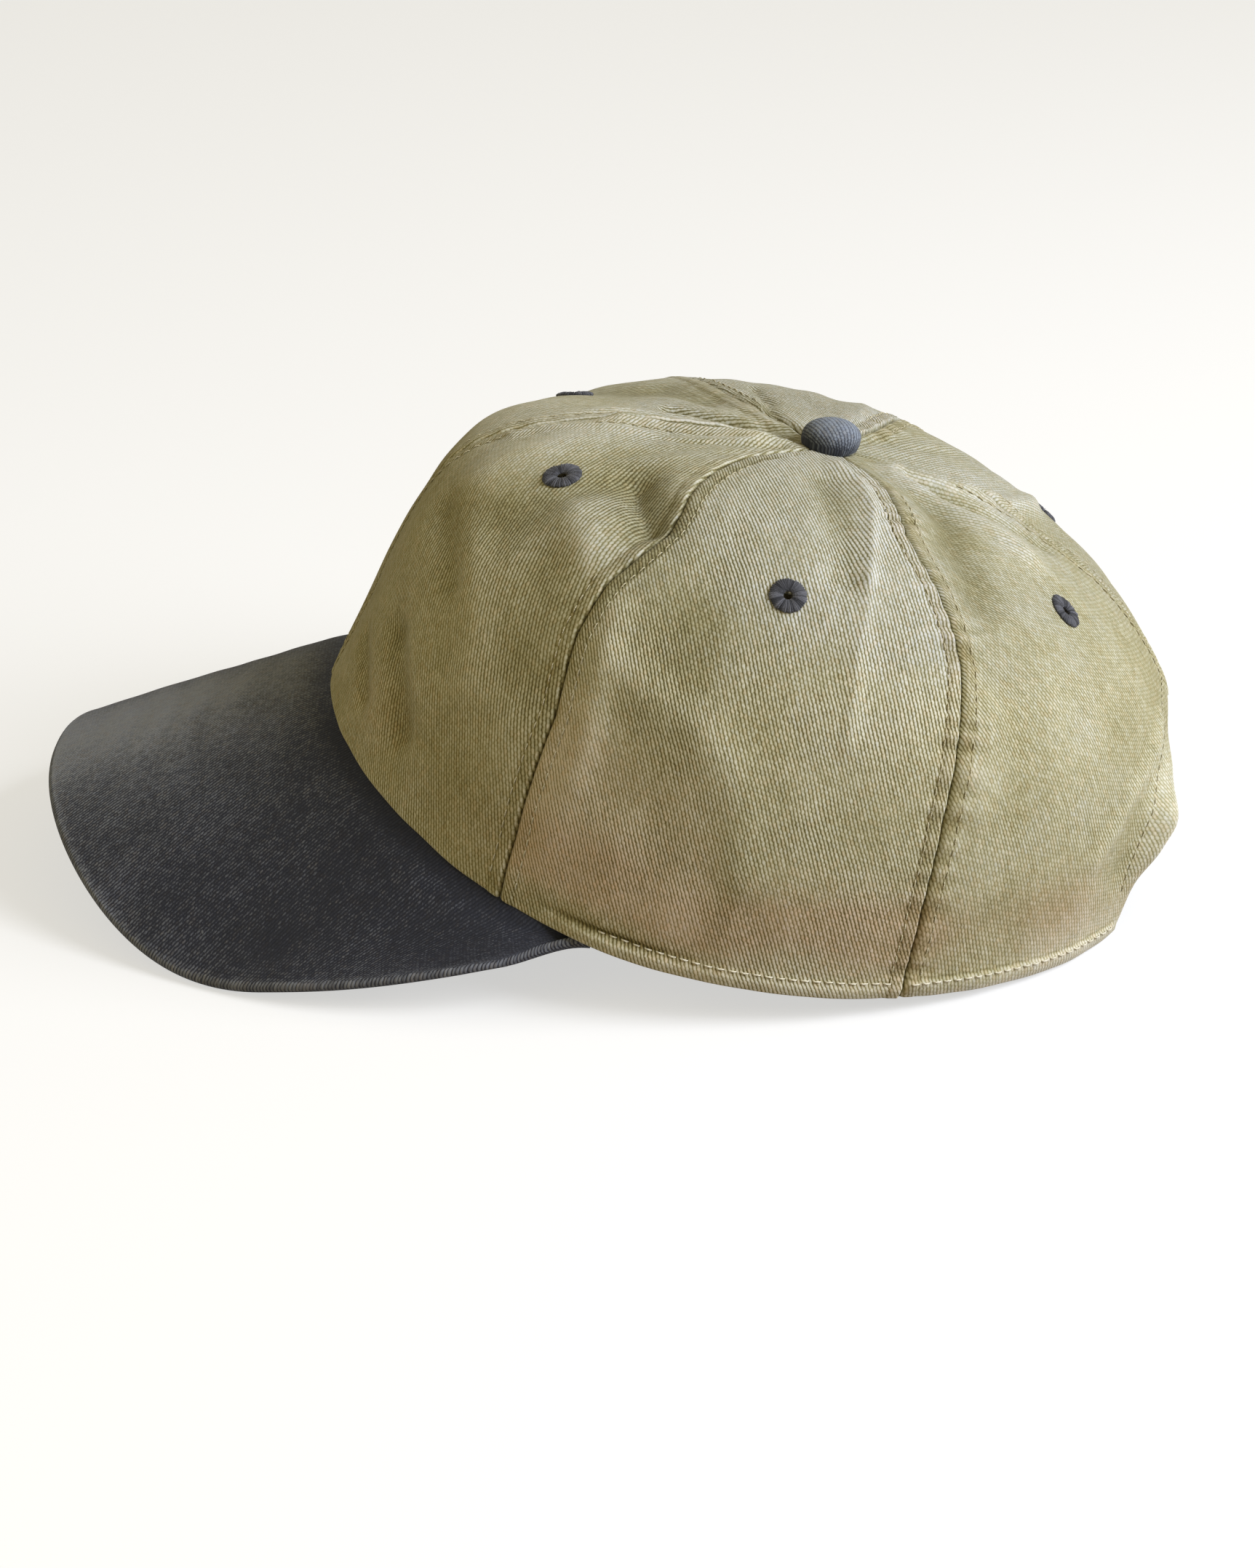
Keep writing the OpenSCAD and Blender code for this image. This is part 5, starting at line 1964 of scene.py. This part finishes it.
@dataclass
class Closure:
    """The strap behind the rear opening with its tab and flip clasp."""

    strap_w: float = 18.0
    strap_t: float = 1.2
    strap_cut: float = 122.5
    tab_cut: float = 30.0
    strap_r: float = 72.2
    strap_y: float = 23.5
    mid_z: float = 20.5
    bar_turn: float = -21.5
    bar_r: float = 74.55

    def _arc(self, turn: Array, r: "Array | float", z: Array) -> Array:
        """Place about the strap's centre, turn from the back towards the left."""
        a = np.radians(turn)
        return np.stack([r * np.sin(a), self.strap_y + r * np.cos(a), self.mid_z + z], -1)

    def build(self, dresser: Dresser) -> None:
        """Builds and dresses the strap, the tab and the clasp."""
        self._strap(dresser)
        self._tab(dresser)
        self._metal(dresser)

    def _strap(self, dresser: Dresser) -> None:
        """Makes the folded cloth strap with a row of stitches along each edge."""
        w, row_in = self.strap_w / 2, 2.2
        first, last = -42.0, 54.0
        outer, inner = self.strap_r + self.strap_t / 2, self.strap_r - self.strap_t / 2

        def at(turn: Array, z: Array, r: float) -> Array:
            """Place on the strap, thinner along the rows of stitches."""
            sewn = bell(np.abs(z) - w + row_in, 0.5)
            return self._arc(turn, r - np.sign(r - self.strap_r) * 0.12 * sewn, z)

        turn, z = edged(first, last, 0.2, 0.6, 120), edged(-w, w, 0.25, 0.7, 36)
        obj = MeshKit.sheet("strap_cloth", at, turn, z, (outer, inner), dresser.pose)
        MeshKit.unmarked(obj)
        dresser.dress(obj, dresser.wardrobe.charcoal, "closure_strap", ["strap"])
        lines = []
        turn = np.linspace(first + 1, last - 1, 400)
        for level in (-w + row_in, w - row_in):
            z = np.full(turn.shape, level)
            away = self._arc(turn, 1.0, z) - self._arc(turn, 0.0, z)
            lines.append((self._arc(turn, outer - 0.14, z), away))
        rows = ThreadWork(width=0.36).rows("strap_stitches", lines, dresser.pose)
        dresser.dress(rows, dresser.wardrobe.dark_thread, "closure_strap")

    def _tab(self, dresser: Dresser) -> None:
        """Makes the cloth tab whose end loops round the clasp's bar."""
        w = self.strap_w / 2 - 0.4
        outer, loop, first = 73.8, 1.45, -38.0
        a = math.radians(self.bar_turn)
        side = np.array([math.cos(a), -math.sin(a), 0])
        out = np.array([math.sin(a), math.cos(a), 0])

        def at(k: Array, z: Array, depth: float) -> Array:
            """Place on the tab at k along it: flat up to 1, then round the bar up to 2."""
            turn = first + np.clip(k, 0, 1) * (self.bar_turn - first - 1.1)
            flat = self._arc(turn, outer - depth, z)
            around = np.radians(-118 + np.clip(k - 1, 0, 1) * 300)[..., None]
            bar = self._arc(np.full(k.shape, self.bar_turn), self.bar_r, z)
            curl = bar + (loop - depth) * (np.sin(around) * side + np.cos(around) * out)
            near = smooth(0.94, 1.0, k)[..., None]
            return flat * (1 - near) + curl * near

        flat_k, round_k = np.linspace(0.03, 0.93, 24), np.linspace(0.95, 1.98, 44)
        k = np.concatenate([[0, 0.01], flat_k, round_k, [1.99, 2.0]])
        obj = MeshKit.sheet("clasp_tab_cloth", at, k, edged(-w, w, 0.2, 0.6, 20), (0.0, 0.65), dresser.pose)
        MeshKit.unmarked(obj)
        dresser.dress(obj, dresser.wardrobe.charcoal, nodes=["clasp_tab"])

    def _metal(self, dresser: Dresser) -> None:
        """Gives the clasp's frame and lever rounded edges and finishes the pin."""
        for node, body in (("clasp_frame", "cap"), ("clasp_lever", "lever")):
            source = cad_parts[node]
            obj = bpy.data.objects.new(f"{node}_rounded", source.data.copy())
            bpy.context.scene.collection.objects.link(obj)
            MeshKit.active(obj)
            with MeshKit.editing():
                bpy.ops.mesh.select_all(action="SELECT")
                bpy.ops.mesh.remove_doubles(threshold=0.004 * MM)
                bpy.ops.mesh.dissolve_limited(angle_limit=math.radians(2))
            soft = obj.modifiers.new("edges", "BEVEL")
            soft.width = 0.16 * MM
            soft.segments = 2
            soft.limit_method = "ANGLE"
            soft.angle_limit = math.radians(40)
            bpy.ops.object.modifier_apply(modifier=soft.name)
            bpy.ops.object.shade_smooth_by_angle(angle=math.radians(35))
            dresser.dress(obj, dresser.wardrobe.brass, body, [node])
        dresser.cover(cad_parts["clasp_pin"].data, dresser.wardrobe.steel)


@dataclass(frozen=True)
class Lamp:
    """A square soft light that faces the cap.

    Attributes:
        name: the light's name.
        at: its place in metres.
        size: its width in metres.
        power: its power in watts.
        colour: its colour.
        target: the place that it faces.
    """

    name: str
    at: tuple[float, float, float]
    size: float
    power: float
    colour: RGB
    target: tuple[float, float, float] = (0, 0.02, 0.05)

    def build(self) -> None:
        """Adds the light to the scene."""
        data = bpy.data.lights.new(self.name, "AREA")
        data.size = self.size
        data.energy = self.power
        data.color = self.colour
        lamp = bpy.data.objects.new(self.name, data)
        lamp.location = self.at
        ahead = Vector(self.target) - Vector(self.at)
        lamp.rotation_euler = ahead.to_track_quat("-Z", "Y").to_euler()
        bpy.context.scene.collection.objects.link(lamp)


@dataclass(frozen=True)
class Studio:
    """A pale floor, soft lights and the camera."""

    floor: RGB = (0.46, 0.46, 0.46)
    white: RGB = (0.59, 0.59, 0.585)
    sky: RGB = (0.74, 0.73, 0.7)
    bounce: RGB = (0.25, 0.2, 0.16)
    ambient: RGB = (0.265, 0.22, 0.112)
    eye: tuple[float, float, float] = (0.719646, 0.0295505, 0.345078)
    pan: float = -1.904
    tilt: float = 24.445
    roll: float = 0.281
    focal_px: float = 4693.29
    image: tuple[int, int] = (1725, 2156)
    sensor: float = 36.0
    lamps: tuple[Lamp, ...] = (
        Lamp("window_light", (0.34, 1.03, 0.8), 0.75, 19.8, (0.98, 1.02, 1.13)),
        Lamp("front_fill", (0.7, -0.75, 0.55), 0.9, 1.9, (1.0, 0.86, 0.5)),
    )

    def build(self) -> None:
        """Builds the floor, the world, the lights and the camera."""
        bpy.context.scene.view_settings.view_transform = "Standard"
        self._floor()
        self._world()
        for lamp in self.lamps:
            lamp.build()
        self._camera()

    @staticmethod
    def _seen(kit: NodeKit) -> Wire:
        """A share that is 1 for what the camera sees directly, in gloss or through glass."""
        path = kit.node("ShaderNodeLightPath")
        total = Wire(kit, path.outputs["Is Camera Ray"])
        for name in ("Is Glossy Ray", "Is Transmission Ray"):
            total = kit.math("MAXIMUM", total, Wire(kit, path.outputs[name]))
        return total

    def _floor(self) -> None:
        """Makes the pale floor, whose bounce is as weak as a dark cloth's."""
        MeshKit.deselect()
        bpy.ops.mesh.primitive_plane_add(size=8, location=(0, 0, 0))
        floor = bpy.context.object
        floor.name = "floor"
        kit = ShaderKit("pale_floor")
        seen = self._seen(kit)
        kit.finish(
            Base_Color=kit.mix(seen, self.bounce, self.floor),
            Emission_Color=kit.mix(seen, (0.0, 0.0, 0.0), self.white),
            Emission_Strength=1.0,
            Roughness=0.9,
        )
        floor.data.materials.append(kit.material)

    def _world(self) -> None:
        """Makes a soft even sky that is as pale as the far floor to the camera."""
        world = bpy.data.worlds.new("studio")
        bpy.context.scene.world = world
        world.use_nodes = True
        kit = NodeKit(world.node_tree)
        back = kit.tree.nodes["Background"]
        kit.feed(back.inputs[0], kit.mix(self._seen(kit), self.ambient, self.sky))
        kit.feed(back.inputs[1], 1.0)

    def _camera(self) -> None:
        """Puts the camera at the photograph's viewing angle."""
        pan, tilt, roll = (math.radians(a) for a in (self.pan, self.tilt, self.roll))
        level = math.cos(tilt)
        ahead = np.array([-math.cos(pan) * level, math.sin(pan) * level, -math.sin(tilt)])
        right = unit(np.cross(ahead, [0, 0, 1.0]))
        up = np.cross(right, ahead)
        x = math.cos(roll) * right + math.sin(roll) * up
        y = math.cos(roll) * up - math.sin(roll) * right
        data = bpy.data.cameras.new("camera")
        data.sensor_width = self.sensor
        data.lens = self.focal_px / max(self.image) * self.sensor
        data.clip_start = 0.01
        data.clip_end = 50
        camera = bpy.data.objects.new("camera", data)
        turned = np.eye(4)
        turned[:3, 0], turned[:3, 1], turned[:3, 2], turned[:3, 3] = x, y, -ahead, self.eye
        camera.matrix_world = Matrix(turned.tolist())
        bpy.context.scene.collection.objects.link(camera)
        bpy.context.scene.camera = camera


def main() -> None:
    """Builds the studio and the cap in order."""
    logging.basicConfig(level=logging.INFO, format="%(name)s %(message)s")
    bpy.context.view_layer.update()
    Studio().build()
    dresser = Dresser(RestPose(), Wardrobe())
    Crown().build(dresser)
    Visor().build(dresser)
    TopButton().build(dresser)
    Closure().build(dresser)


if __name__ == "__main__":
    main()
